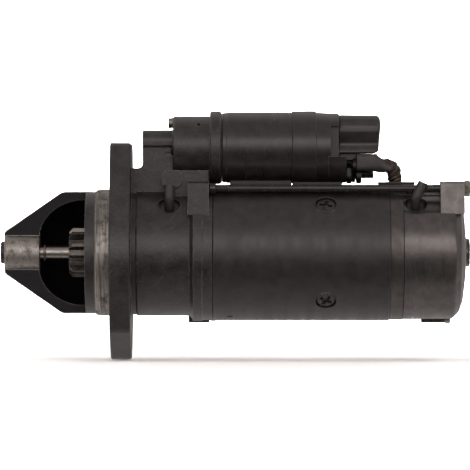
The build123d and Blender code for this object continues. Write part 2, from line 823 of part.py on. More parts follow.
with BuildPart() as commutator:
    with BuildSketch(Plane.XZ):
        with BuildLine():
            Polyline(
                (200.8, 9.6),
                (200.8, 23.8),
                (COMMUTATOR_X, 23.8),
                (COMMUTATOR_X, COMMUTATOR_R),
                (COMMUTATOR_X + COMMUTATOR_L, COMMUTATOR_R),
                (COMMUTATOR_X + COMMUTATOR_L, 9.6),
                close=True,
            )
        make_face()
    revolve(axis=SHAFT_AXIS)
    with BuildSketch(across(200.0)):
        with PolarLocations(24.0, SLOTS, start_angle=180 / SLOTS):
            Rectangle(7.6, 0.7)
    extrude(amount=40, mode=Mode.SUBTRACT)
save(commutator, "commutator")


# ---------------------------------------------------------------- brush gear and rear cover

BRUSH_W = 8.0  # across the brush
BRUSH_L = 12.0  # along the shaft
BRUSH_H = 13.0
ARM_POST_R = 33.4
ARM_REACH = 13.8

with BuildPart() as brush_plate:
    with BuildSketch(across(YOKE_END_X)):
        Circle(RIM_R)
        Circle(YOKE_BORE_R, mode=Mode.SUBTRACT)
    extrude(amount=RIM_END_X - YOKE_END_X)
    with BuildSketch(across(202.0)):
        Circle(YOKE_BORE_R + 1)
        Circle(26.0, mode=Mode.SUBTRACT)
    extrude(amount=3.0)
    with Locations((GROMMET_X, LEAD_Y, YOKE_R)):
        Box(GROMMET_L, GROMMET_W, 14, mode=Mode.SUBTRACT)
    for angle in POLE_ANGLES:
        post_plane = Plane(
            origin=(205.0, 0, 0), x_dir=(0, *spoke(angle, 1.0)), z_dir=(1, 0, 0),
        )
        with BuildSketch(post_plane):
            with Locations((ARM_POST_R, -ARM_REACH)):
                Circle(2.6)
        extrude(amount=16.0)
save(brush_plate, "brush_plate")

for number, angle in enumerate(POLE_ANGLES, start=1):
    radial = Plane(origin=(BRUSH_X - BRUSH_L / 2, 0, 0), x_dir=(0, *spoke(angle, 1.0)), z_dir=(1, 0, 0))
    with BuildPart() as brush:
        with BuildSketch(radial):
            with Locations((COMMUTATOR_R + 0.1 + BRUSH_H / 2, 0)):
                Rectangle(BRUSH_H, BRUSH_W)
            Circle(COMMUTATOR_R + 0.1, mode=Mode.SUBTRACT)
        extrude(amount=BRUSH_L)
    save(brush, f"brush_{number}")

with BuildPart() as brush_boxes:
    for angle in POLE_ANGLES:
        radial = Plane(origin=(RIM_END_X, 0, 0), x_dir=(0, *spoke(angle, 1.0)), z_dir=(1, 0, 0))
        with BuildSketch(radial):
            with Locations((28.6, 0)):
                Rectangle(9.6, BRUSH_W + 3.6)
        extrude(amount=BRUSH_X + BRUSH_L / 2 + 1.8 - RIM_END_X)
        with BuildSketch(radial.offset(BRUSH_X - BRUSH_L / 2 - 0.3 - RIM_END_X)):
            with Locations((28.6, 0)):
                Rectangle(12, BRUSH_W + 0.6)
        extrude(amount=BRUSH_L + 0.6, mode=Mode.SUBTRACT)
save(brush_boxes, "brush_boxes")

for number, angle in enumerate(POLE_ANGLES, start=1):
    radial = Plane(origin=(BRUSH_X - 2.5, 0, 0), x_dir=(0, *spoke(angle, 1.0)), z_dir=(1, 0, 0))
    with BuildPart() as spring_arm:
        with BuildSketch(radial):
            with Locations((ARM_POST_R, -ARM_REACH)):
                Circle(4.6)
                Circle(2.7, mode=Mode.SUBTRACT)
            with BuildLine():
                Polyline(
                    (ARM_POST_R + 2.9, -ARM_REACH + 3.4),
                    (COMMUTATOR_R + BRUSH_H + 1.6, -1.2),
                    (COMMUTATOR_R + BRUSH_H + 0.8, 1.0),
                    (COMMUTATOR_R + BRUSH_H + 2.4, 1.0),
                    (ARM_POST_R + 4.6, -ARM_REACH + 1.8),
                    close=True,
                )
            make_face()
        extrude(amount=5.0)
    save(spring_arm, f"brush_spring_{number}")

BOSS_OUTLINE = [(-37.8, 27.0), (-34.0, 48.6), (-31.0, 49.9), (-20.0, 49.9), (-16.0, 28.0)]  # upper boss, Y and Z
LEDGE_Z = 28.4
with BuildPart() as rear_cover:
    with BuildSketch(Plane.XZ):
        with BuildLine():
            Polyline(
                (RIM_END_X, 0),
                (RIM_END_X, COVER_R - 0.5),
                (RIM_END_X + 0.5, COVER_R),
                (241.0, COVER_R - 0.3),
                (245.4, 42.0),
                (247.9, 35.0),
                (249.7, 21.0),
                (COVER_END_X, 0),
                close=True,
            )
        make_face()
        fillet(vertices().filter_by(lambda v: abs(v.X - 241.0) < 0.1), radius=3)
    revolve(axis=SHAFT_AXIS)
    # bosses that the through-bolt heads pull on
    for (y, z), head_x, length in zip(THROUGH_AT, THROUGH_HEAD_X, (16.9, 16.5)):
        side = y / -THROUGH_Y
        with BuildSketch(across(head_x - length)):
            Polygon(*[(side * p, side * q) for p, q in BOSS_OUTLINE], align=None)
        extrude(amount=length)
    # relieved shoulder in front of the upper boss, down to a sloping ledge
    with BuildSketch(across(RIM_END_X - 0.1)):
        Polygon((-60, LEDGE_Z - 14.4), (-34, LEDGE_Z + 1.2), (-19, LEDGE_Z + 1.2), (-19, 60), (-60, 60), align=None)
        Circle(COVER_R - 2.2, mode=Mode.SUBTRACT)
    extrude(amount=THROUGH_HEAD_X[0] - 16.9 - RIM_END_X + 0.1, mode=Mode.SUBTRACT)
    # hollow, shaft bush and bolt holes
    with BuildSketch(Plane.XZ):
        with BuildLine():
            Polyline(
                (RIM_END_X, 0),
                (RIM_END_X, COVER_BORE_R),
                (234.0, COVER_BORE_R),
                (240.5, 34.0),
                (242.6, 13.5),
                (235.6, 12.6),
                (235.6, 9.0),
                (249.6, 9.0),
                (249.6, 0),
                close=True,
            )
        make_face()
    revolve(axis=SHAFT_AXIS, mode=Mode.SUBTRACT)
    for (y, z), head_x in zip(THROUGH_AT, THROUGH_HEAD_X):
        with BuildSketch(across(215.0)):
            with Locations((y, z)):
                Circle(THROUGH_R + 0.3)
        extrude(amount=40, mode=Mode.SUBTRACT)
        with BuildSketch(across(head_x)):
            with Locations((y, z)):
                Circle(6.4)
        extrude(amount=14, mode=Mode.SUBTRACT)
    with Locations((GROMMET_X, LEAD_Y, YOKE_R)):
        Box(GROMMET_L, GROMMET_W, 14, mode=Mode.SUBTRACT)
    with BuildSketch(REAR_VENT.offset(3)):
        Circle(VENT_R)
    extrude(amount=-5.4, mode=Mode.SUBTRACT)
    # pad for the end cap
    with BuildSketch(across(249.9)):
        Circle(9.9)
    extrude(amount=1.7)
    with BuildSketch(across(249.0)):
        Circle(7.6)
    extrude(amount=5, mode=Mode.SUBTRACT)
save(rear_cover, "rear_cover")

# Sintered bushes pressed into the nose, the bracket and the rear cover
with BuildPart() as bearing_bushes:
    for start_x, end_x, outer_r, journal_r in (
        (-73.0, BOSS_END_X - 0.6, 7.0, SHAFT_R),
        (49.2, 58.2, 10.5, 8.5),
        (235.8, 248.6, 9.0, 7.0),
    ):
        with BuildSketch(across(start_x)):
            Circle(outer_r)
            Circle(journal_r + RUNNING, mode=Mode.SUBTRACT)
        extrude(amount=end_x - start_x)
save(bearing_bushes, "bearing_bushes")

# Pressed plugs that close the shaft bores at both ends
with BuildPart() as end_plugs:
    with BuildSketch(Plane.XZ):
        with BuildLine():
            Polyline(
                (NOSE_X - 2.8, 0), (NOSE_X - 2.8, 7.2), (NOSE_X - 2.1, 7.9), (NOSE_X, 7.9),
                (NOSE_X, 6.9), (NOSE_X + 1.6, 6.9), (NOSE_X + 1.6, 0), close=True,
            )
        make_face()
        with BuildLine():
            Polyline(
                (250.2, 0), (250.2, 7.6), (251.6, 7.6), (251.6, 9.9),
                (252.6, 9.9), (253.2, 9.3), (253.2, 0), close=True,
            )
        make_face()
    revolve(axis=SHAFT_AXIS)
save(end_plugs, "end_plugs")

# Through bolts with their sleeves
with BuildPart() as through_bolts:
    for (y, z), head_x in zip(THROUGH_AT, THROUGH_HEAD_X):
        with BuildSketch(across(58.0)):
            with Locations((y, z)):
                Circle(THROUGH_R)
        extrude(amount=head_x - 58.0)
        with BuildSketch(across(69.7)):
            with Locations((y, z)):
                Circle(3.9)
        extrude(amount=4.6)
        with BuildSketch(across(head_x)):
            with Locations((y, z)):
                RegularPolygon(5.0, 6, major_radius=False, rotation=10)
        extrude(amount=4.2)
save(through_bolts, "through_bolts")


# ---------------------------------------------------------------- solenoid

PLUNGER_R = 12.7
CORE_X = 107.5  # face that the plunger pulls up to
PLUNGER_END_X = CORE_X - 0.5 - PLUNGER_TRAVEL
SPRING_SEAT_X = 86.0
CLEVIS_END_X = CLEVIS_PIN_X + 8.6
DISC_X = 134.4
STUD_R = 4.0
STUD_HEAD_X = 140.0
BATTERY_Z = SOLENOID_Z + 11.5
MOTOR_Z = 55.9
NUT_AF = 13.0

with BuildPart() as solenoid_case:
    with BuildSketch(Plane.XZ):
        with BuildLine():
            Polyline(
                (SEAT_END_X + 0.1, SOLENOID_Z + 13.2),
                (SEAT_END_X + 0.1, SOLENOID_Z + 24.0),
                (SEAT_END_X + 0.7, SOLENOID_Z + 24.6),
                (SOLENOID_X - 0.4, SOLENOID_Z + 24.6),
                (SOLENOID_X, SOLENOID_Z + SOLENOID_R),
                (SOLENOID_END_X, SOLENOID_Z + SOLENOID_R),
                (SOLENOID_END_X, SOLENOID_Z + 22.6),
                (SOLENOID_X + 0.6, SOLENOID_Z + 22.6),
                (SOLENOID_X + 0.6, SOLENOID_Z + 13.2),
                close=True,
            )
        make_face()
    revolve(axis=SOLENOID_AXIS)
    for angle in SCREW_ANGLES:
        y, z = spoke(angle, SCREW_CIRCLE_R)
        with BuildSketch(across(SEAT_END_X)):
            with Locations((y, z + SOLENOID_Z)):
                Circle(2.5)
        extrude(amount=10, mode=Mode.SUBTRACT)
save(solenoid_case, "solenoid_case")

with BuildPart() as solenoid_screws:
    for angle, seat_x in zip(SCREW_ANGLES, SCREW_SEAT_X):
        y, z = spoke(angle, SCREW_CIRCLE_R)
        with BuildSketch(across(seat_x)):
            with Locations((y, z + SOLENOID_Z)):
                Circle(2.5)
        extrude(amount=SOLENOID_X + 0.4 - seat_x)
        with BuildSketch(across(seat_x - 3.4)):
            with Locations((y, z + SOLENOID_Z)):
                Circle(3.7)
                RegularPolygon(2.0, 6, major_radius=False, mode=Mode.SUBTRACT)
        extrude(amount=3.4)
save(solenoid_screws, "solenoid_screws")

with BuildPart() as coil_former:
    with BuildSketch(Plane.XZ):
        with BuildLine():
            Polyline(
                (83.0, SOLENOID_Z + 13.2),
                (83.0, SOLENOID_Z + 22.3),
                (84.6, SOLENOID_Z + 22.3),
                (84.6, SOLENOID_Z + 14.3),
                (115.0, SOLENOID_Z + 14.3),
                (115.0, SOLENOID_Z + 22.3),
                (116.4, SOLENOID_Z + 22.3),
                (116.4, SOLENOID_Z + 13.2),
                close=True,
            )
        make_face()
    revolve(axis=SOLENOID_AXIS)
save(coil_former, "coil_former")

solenoid_coil = tube(84.8, 114.8, 21.6, 14.4, z=SOLENOID_Z)
save(solenoid_coil, "solenoid_coil")

with BuildPart() as fixed_core:
    with BuildSketch(Plane.XZ):
        with BuildLine():
            Polyline(
                (CORE_X, SOLENOID_Z + 8.5),
                (CORE_X, SOLENOID_Z + 12.9),
                (116.6, SOLENOID_Z + 12.9),
                (116.6, SOLENOID_Z + 22.5),
                (121.0, SOLENOID_Z + 22.5),
                (121.0, SOLENOID_Z + 3.3),
                (117.8, SOLENOID_Z + 3.3),
                (117.8, SOLENOID_Z + 8.5),
                close=True,
            )
        make_face()
    revolve(axis=SOLENOID_AXIS)
save(fixed_core, "fixed_core")

with BuildPart() as plunger:
    with BuildSketch(Plane.XZ):
        with BuildLine():
            Polyline(
                (CLEVIS_END_X, SOLENOID_Z),
                (CLEVIS_END_X, SOLENOID_Z + 7.8),
                (CLEVIS_END_X + 12, SOLENOID_Z + 7.8),
                (CLEVIS_END_X + 14, SOLENOID_Z + PLUNGER_R),
                (PLUNGER_END_X, SOLENOID_Z + PLUNGER_R),
                (PLUNGER_END_X, SOLENOID_Z + 8.3),
                (SPRING_SEAT_X, SOLENOID_Z + 8.3),
                (SPRING_SEAT_X, SOLENOID_Z),
                close=True,
            )
        make_face()
    revolve(axis=SOLENOID_AXIS)
    # clevis: two cheeks either side of the lever
    for inner_face in (LEVER_T / 2 + 0.4, -LEVER_T / 2 - 0.4 - 4.2):
        with BuildSketch(Plane.XZ.offset(inner_face)):
            with Locations((CLEVIS_PIN_X, SOLENOID_Z)):
                Circle(4.4)
            with Locations((CLEVIS_END_X + 1, SOLENOID_Z)):
                Rectangle(2, 8.8)
            make_hull()
        extrude(amount=4.2)
    with BuildSketch(Plane.XZ):
        with Locations((CLEVIS_PIN_X, SOLENOID_Z)):
            Circle(2.5)
    extrude(amount=12, both=True, mode=Mode.SUBTRACT)
save(plunger, "plunger")

with BuildPart() as clevis_pin:
    with BuildSketch(Plane.XZ):
        with Locations((CLEVIS_PIN_X, SOLENOID_Z)):
            Circle(2.5)
    extrude(amount=7.6, both=True)
save(clevis_pin, "clevis_pin")

return_spring = coil_spring(SPRING_SEAT_X + 0.1, CORE_X - 0.4, 6.8, 0.6, 7, z=SOLENOID_Z)
save(return_spring, "return_spring")

with BuildPart() as contact_rod:
    with BuildSketch(Plane.XZ):
        with BuildLine():
            Polyline(
                (SPRING_SEAT_X + 7.8, SOLENOID_Z),
                (SPRING_SEAT_X + 7.8, SOLENOID_Z + 2.4),
                (SPRING_SEAT_X + 8.4, SOLENOID_Z + 3.0),
                (DISC_X - 2.4, SOLENOID_Z + 3.0),
                (DISC_X - 2.4, SOLENOID_Z + 5.4),
                (DISC_X, SOLENOID_Z + 5.4),
                (DISC_X, SOLENOID_Z + 3.0),
                (DISC_X + 5.2, SOLENOID_Z + 3.0),
                (DISC_X + 5.2, SOLENOID_Z),
                close=True,
            )
        make_face()
    revolve(axis=SOLENOID_AXIS)
save(contact_rod, "contact_rod")

contact_disc = tube(DISC_X, DISC_X + 2.4, 20.6, 3.0, z=SOLENOID_Z)
save(contact_disc, "contact_disc")

contact_spring = coil_spring(DISC_X + 2.5, DISC_X + 10.6, 4.6, 0.5, 4, z=SOLENOID_Z)
save(contact_spring, "contact_spring")

# Moulded cap: full round where it meets the case, open at the back above the motor terminal
with BuildPart() as solenoid_cap:
    with BuildSketch(Plane.XZ):
        with BuildLine():
            Polyline(
                (SOLENOID_END_X + 0.1, SOLENOID_Z + 23.1),
                (SOLENOID_END_X + 0.1, SOLENOID_Z + 25.5),
                (SOLENOID_END_X + 0.5, SOLENOID_Z + 25.9),
                (144.4, SOLENOID_Z + 25.9),
                (144.8, SOLENOID_Z + 25.4),
                (144.8, SOLENOID_Z + 24.9),
                (154.7, SOLENOID_Z + 24.3),
                (154.7, SOLENOID_Z),
                (149.4, SOLENOID_Z),
                (149.4, SOLENOID_Z + 7.0),
                (146.0, SOLENOID_Z + 7.0),
                (146.0, SOLENOID_Z + 23.1),
                close=True,
            )
        make_face()
    revolve(axis=SOLENOID_AXIS)
    # lower half runs on to the motor terminal
    with BuildSketch(across(153.0)):
        with Locations((0, SOLENOID_Z)):
            Circle(25.0)
        with Locations((0, 67.4 + 20)):
            Rectangle(60, 40, mode=Mode.SUBTRACT)
    extrude(amount=CAP_END_X - 153.0)
    # roof strip and the web that carry the hood
    with BuildSketch(across(154.0)):
        with Locations((0, SOLENOID_Z)):
            Circle(24.2)
            Circle(21.6, mode=Mode.SUBTRACT)
        with Locations((0, SOLENOID_Z - 10)):
            Rectangle(60, 50, mode=Mode.SUBTRACT)
    extrude(amount=160.8 - 154.0)
    with BuildSketch(across(154.0)):
        with Locations((0, 76.0)):
            RectangleRounded(19, 20, 3)
    extrude(amount=158.6 - 154.0)
    # cheek that closes the gap to the hood, and the barrier behind the motor terminal
    with Locations((157.0, -10.3, 77.2)):
        Box(7.2, 4.2, 23.6)
    with Locations((168.4, 10.4, 58.0)):
        Box(8.0, 4.4, 16.0)
    # shelf below the hood
    with BuildSketch(Plane.XY.offset(65.2)):
        with Locations(((160.0 + 188.4) / 2, 3.2)):
            RectangleRounded(28.4, 19.6, 2)
    extrude(amount=4.4)
    for stud_z in (BATTERY_Z, MOTOR_Z):
        with BuildSketch(across(140.0)):
            with Locations((0, stud_z)):
                Circle(STUD_R)
        extrude(amount=40, mode=Mode.SUBTRACT)
save(solenoid_cap, "solenoid_cap")

# Moulded hood over the battery terminal: closed towards the rear, open on the far side
HOOD_X = 160.9
HOOD_END_X = 190.3
HOOD_SIDE = [
    (7.5, 96.3), (11.2, 93.4), (13.0, 89.0), (13.2, 84.8), (12.0, 81.0),
    (10.3, 77.6), (10.4, 74.8), (12.2, 72.2), (13.4, 70.6),
]
HOOD_OUTLINE = [(0, 97.2)] + HOOD_SIDE + [(13.4, 69.9), (-13.4, 69.9)]
HOOD_OUTLINE += [(-y, z) for y, z in reversed(HOOD_SIDE)]
with BuildPart() as terminal_hood:
    with BuildSketch(across(HOOD_X)):
        Polygon(*HOOD_OUTLINE, align=None)
    extrude(amount=HOOD_END_X - HOOD_X, taper=1.2)
    with BuildSketch(Plane.XZ.offset(-40)):
        with BuildLine():
            Polyline(
                (HOOD_X - 1, 60), (HOOD_END_X - 1.9, 60), (HOOD_END_X - 0.3, 88.5), (HOOD_END_X - 0.3, 100),
                (HOOD_X - 1, 100), close=True,
            )
        make_face()
    extrude(amount=80, mode=Mode.INTERSECT)
    with BuildSketch(across(HOOD_X - 1)):
        with Locations((0, 83.0)):
            RectangleRounded(17.6, 22, 4)
    extrude(amount=HOOD_END_X - HOOD_X - 2.4, mode=Mode.SUBTRACT)
    with Locations(((HOOD_X + HOOD_END_X) / 2, 12, 82)):
        Box(17, 16, 15, mode=Mode.SUBTRACT)
save(terminal_hood, "terminal_hood")

with BuildPart() as terminal_studs:
    for stud_z, end_x in ((BATTERY_Z, 183.0), (MOTOR_Z, 185.4)):
        with BuildSketch(across(STUD_HEAD_X)):
            with Locations((0, stud_z)):
                RectangleRounded(9.0, 9.0, 1.0)
        extrude(amount=5.8)
        with BuildSketch(across(STUD_HEAD_X + 4)):
            with Locations((0, stud_z)):
                Circle(STUD_R)
        extrude(amount=end_x - STUD_HEAD_X - 4)
    chamfer(edges().group_by(Axis.X)[-1], length=0.7)
    for start_x, stud_z in ((159.0, BATTERY_Z), (171.0, BATTERY_Z), (165.9, MOTOR_Z), (172.8, MOTOR_Z)):
        with BuildSketch(across(start_x)):
            with Locations((0, stud_z)):
                RegularPolygon(NUT_AF / 2, 6, major_radius=False, rotation=30 if stud_z == MOTOR_Z else 0)
        extrude(amount=4.2)
save(terminal_studs, "terminal_studs")


# ---------------------------------------------------------------- field lead and vents

LEAD_R = 4.0
LEAD_Z = 61.2
BEND_R = 13.0
BEND_X = 187.2
LUG_X = 170.4

with BuildPart() as lead_lug:
    with BuildSketch(across(LUG_X)):
        with BuildSketch(mode=Mode.PRIVATE) as tongue:
            with Locations((0, MOTOR_Z)):
                Circle(6.4)
            with Locations((LEAD_Y, LEAD_Z)):
                Circle(5.0)
            make_hull()
        add(tongue.sketch)
        with Locations((0, MOTOR_Z)):
            Circle(STUD_R, mode=Mode.SUBTRACT)
    extrude(amount=2.0)
    with BuildSketch(across(LUG_X)):
        with Locations((LEAD_Y, LEAD_Z)):
            Circle(5.0)
    extrude(amount=9.0)
    with BuildSketch(across(LUG_X + 2.4)):
        with Locations((LEAD_Y, LEAD_Z)):
            Circle(LEAD_R)
    extrude(amount=9.0, mode=Mode.SUBTRACT)
save(lead_lug, "lead_lug")


def lead_run(radius):
    """The lead's round body along its whole route: out of the lug, round one bend, down into the grommet."""
    with BuildPart() as piece:
        with BuildLine(Plane.XZ.offset(-LEAD_Y)):
            along = Line((LUG_X + 2.6, LEAD_Z), (BEND_X, LEAD_Z))
            bend = JernArc(along @ 1, along % 1, BEND_R, -90)
            Line(bend @ 1, bend @ 1 + (bend % 1) * (LEAD_Z - BEND_R - 43.6))
        with BuildSketch(Plane(origin=(LUG_X + 2.6, LEAD_Y, LEAD_Z), z_dir=(1, 0, 0))):
            Circle(radius)
        sweep()
    return piece


field_lead = lead_run(LEAD_R)
save(field_lead, "field_lead")

with BuildPart() as lead_boot:
    with BuildSketch(Plane.XZ.offset(6.9)):
        with BuildLine():
            Polyline(
                (172.6, 57.6),
                (172.6, 69.5),
                (187.6, 69.5),
                (188.6, 65.6),
                (197.6, 60.4),
                (196.0, 56.8),
                (188.0, 56.4),
                close=True,
            )
        make_face()
        fillet(vertices().filter_by(lambda v: v.X < 190), radius=1.2)
    extrude(amount=12.4)
    fillet(edges().group_by(Axis.Y)[0] + edges().group_by(Axis.Y)[-1], radius=1.0)
    add(lead_run(LEAD_R + 0.02).part, mode=Mode.SUBTRACT)
    with BuildSketch(across(LUG_X)):
        with Locations((LEAD_Y, LEAD_Z)):
            Circle(5.02)
    extrude(amount=9.1, mode=Mode.SUBTRACT)
save(lead_boot, "lead_boot")

with BuildPart() as grommet:
    with Locations((GROMMET_X, LEAD_Y, 46.4)):
        Box(GROMMET_L - 0.2, GROMMET_W - 0.2, 6.6)
    with Locations((GROMMET_X - 0.4, LEAD_Y, 49.0)):
        Box(GROMMET_L + 0.6, GROMMET_W + 1.2, 1.6)
    add(lead_run(LEAD_R + 0.03).part, mode=Mode.SUBTRACT)
    with BuildSketch(Plane.XY.offset(40)):
        with Locations((BEND_X + BEND_R, LEAD_Y)):
            Circle(LEAD_R + 0.03)
    extrude(amount=5, mode=Mode.SUBTRACT)
save(grommet, "grommet")


VENT_TUBE_R = 3.5


def vent_tube(seat, depth, lean, rise):
    """A breather tube: straight out of its recess, then round a bend and up, leaning along the shaft."""
    out = seat.z_dir
    up = Vector(sin(radians(lean)), 0, cos(radians(lean)))
    foot = seat.origin - out * depth
    corner = foot + out * 8.3
    with BuildPart() as piece:
        with BuildLine():
            FilletPolyline(foot, corner, corner + up * rise, radius=4.0)
        with BuildSketch(Plane(origin=foot, z_dir=out)):
            Circle(VENT_TUBE_R)
        sweep()
        # hollow end
        with BuildSketch(Plane(origin=corner + up * (rise - 4.5), z_dir=up)):
            Circle(VENT_TUBE_R - 1.3)
        extrude(amount=5.0, mode=Mode.SUBTRACT)
    return piece


with BuildPart() as vent_tubes:
    add(vent_tube(FRONT_VENT, 3.1, 0, 10.1).part)
    add(vent_tube(REAR_VENT, 2.3, 25, 12.1).part)
save(vent_tubes, "vent_tubes")
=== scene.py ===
"""Finishes and fine parts of a gear-reduction starter motor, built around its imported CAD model.

The shaft runs along X, the pinion end points to -X, and the solenoid lies above the motor, at +Z.
Sizes of pieces are written in millimetres and turned into metres by MM.
"""

import json
import math

import bmesh
import bpy
from bpy.props import FloatProperty, FloatVectorProperty, IntProperty, StringProperty
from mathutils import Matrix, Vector


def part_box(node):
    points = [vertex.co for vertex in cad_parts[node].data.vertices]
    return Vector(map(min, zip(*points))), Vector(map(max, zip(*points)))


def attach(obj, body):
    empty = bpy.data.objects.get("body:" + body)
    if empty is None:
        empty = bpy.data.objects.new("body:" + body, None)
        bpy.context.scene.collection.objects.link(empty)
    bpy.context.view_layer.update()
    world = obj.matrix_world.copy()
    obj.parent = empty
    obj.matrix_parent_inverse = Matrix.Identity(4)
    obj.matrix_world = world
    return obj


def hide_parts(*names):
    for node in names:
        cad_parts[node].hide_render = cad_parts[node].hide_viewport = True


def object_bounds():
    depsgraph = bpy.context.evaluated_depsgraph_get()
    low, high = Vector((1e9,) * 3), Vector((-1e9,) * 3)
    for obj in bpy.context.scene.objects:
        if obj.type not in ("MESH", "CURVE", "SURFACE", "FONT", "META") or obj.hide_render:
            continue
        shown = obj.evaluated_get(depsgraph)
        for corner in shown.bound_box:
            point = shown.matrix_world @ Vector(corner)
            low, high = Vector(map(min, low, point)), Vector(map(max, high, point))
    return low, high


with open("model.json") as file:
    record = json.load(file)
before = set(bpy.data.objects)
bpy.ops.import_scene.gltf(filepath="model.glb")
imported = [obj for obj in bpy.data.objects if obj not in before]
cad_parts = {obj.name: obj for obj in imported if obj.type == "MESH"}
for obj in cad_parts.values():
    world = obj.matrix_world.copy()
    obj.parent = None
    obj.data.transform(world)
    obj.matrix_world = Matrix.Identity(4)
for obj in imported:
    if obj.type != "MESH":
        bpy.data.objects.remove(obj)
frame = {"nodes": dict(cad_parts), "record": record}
CAD_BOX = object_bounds()

bl_info = {
    "name": "Starter motor finishes",
    "version": (1, 0, 0),
    "blender": (4, 5, 0),
    "location": "3D View > Sidebar > Starter motor",
    "description": "Paints, machines and details the pieces of a gear-reduction starter motor",
    "category": "Object",
}

MM = 0.001
SOLENOID_Z = 74.1  # axis of the solenoid above the shaft
BATTERY_Z = 85.6  # the solenoid's two terminals
MOTOR_Z = 55.9
LEAD_Y = -12.0  # plane of the field lead
YOKE_R = 47.96  # just outside the yoke
POLE_SCREW_X = 151.0
# each through bolt's (y, z) and the x of its head's seat
THROUGH_BOLTS = (((-25.9, 45.0), 247.9), ((25.9, -45.0), 236.9))


# ---------------------------------------------------------------- colour and node helpers

def linear(hex_colour):
    """An sRGB hex colour as the linear RGBA that shaders use."""
    parts = [int(hex_colour[i:i + 2], 16) / 255 for i in (1, 3, 5)]
    return (*[p / 12.92 if p <= 0.04045 else ((p + 0.055) / 1.055) ** 2.4 for p in parts], 1.0)


def add(tree, kind, inputs=None, **settings):
    """Adds one shader node with its settings.

    An input is a constant, a socket, or a node, whose first live output is then meant.
    """
    node = tree.nodes.new("ShaderNode" + kind)
    for name, value in settings.items():
        setattr(node, name, value)
    for name, value in (inputs or {}).items():
        if isinstance(value, bpy.types.Node):
            value = next(socket for socket in value.outputs if socket.enabled)
        if isinstance(value, bpy.types.NodeSocket):
            tree.links.new(value, node.inputs[name])
        else:
            node.inputs[name].default_value = value
    return node


def fresh(name):
    """A node material with only its output, and the object's own coordinates in metres, whole and split."""
    material = bpy.data.materials.new(name)
    material.use_nodes = True
    tree = material.node_tree
    tree.nodes.clear()
    output = add(tree, "OutputMaterial")
    place = add(tree, "TexCoord").outputs["Object"]
    return material, tree, output, place, add(tree, "SeparateXYZ", {0: place}).outputs


def corners(tree, width_mm):
    """The normal rounded over width_mm, and a mask that is one where the surface turns a corner."""
    rounded = add(tree, "Bevel", {"Radius": width_mm * MM}, samples=6)
    flat = add(tree, "NewGeometry").outputs["Normal"]
    facing = add(tree, "VectorMath", {0: rounded, 1: flat}, operation="DOT_PRODUCT")
    return rounded, add(tree, "MapRange", {"Value": facing, "From Min": 0.985, "From Max": 0.8})


def turned_round(tree, axes, centre_z_mm=0.0, along=1.0):
    """Coordinates that wrap round a line along X: distance along it, angle as a length, and radius."""
    height = add(tree, "Math", {0: axes[2], 1: centre_z_mm * MM}, operation="SUBTRACT")
    flat = add(tree, "CombineXYZ", {0: axes[1], 1: height})
    radius = add(tree, "VectorMath", {0: flat}, operation="LENGTH")
    angle = add(tree, "Math", {0: height, 1: axes[1]}, operation="ARCTAN2")
    stretched = add(tree, "Math", {0: axes[0], 1: along}, operation="MULTIPLY")
    slow = add(tree, "Math", {0: angle, 1: 0.0012}, operation="MULTIPLY")
    return add(tree, "CombineXYZ", {0: stretched, 1: slow, 2: radius}), radius


# ---------------------------------------------------------------- finishes

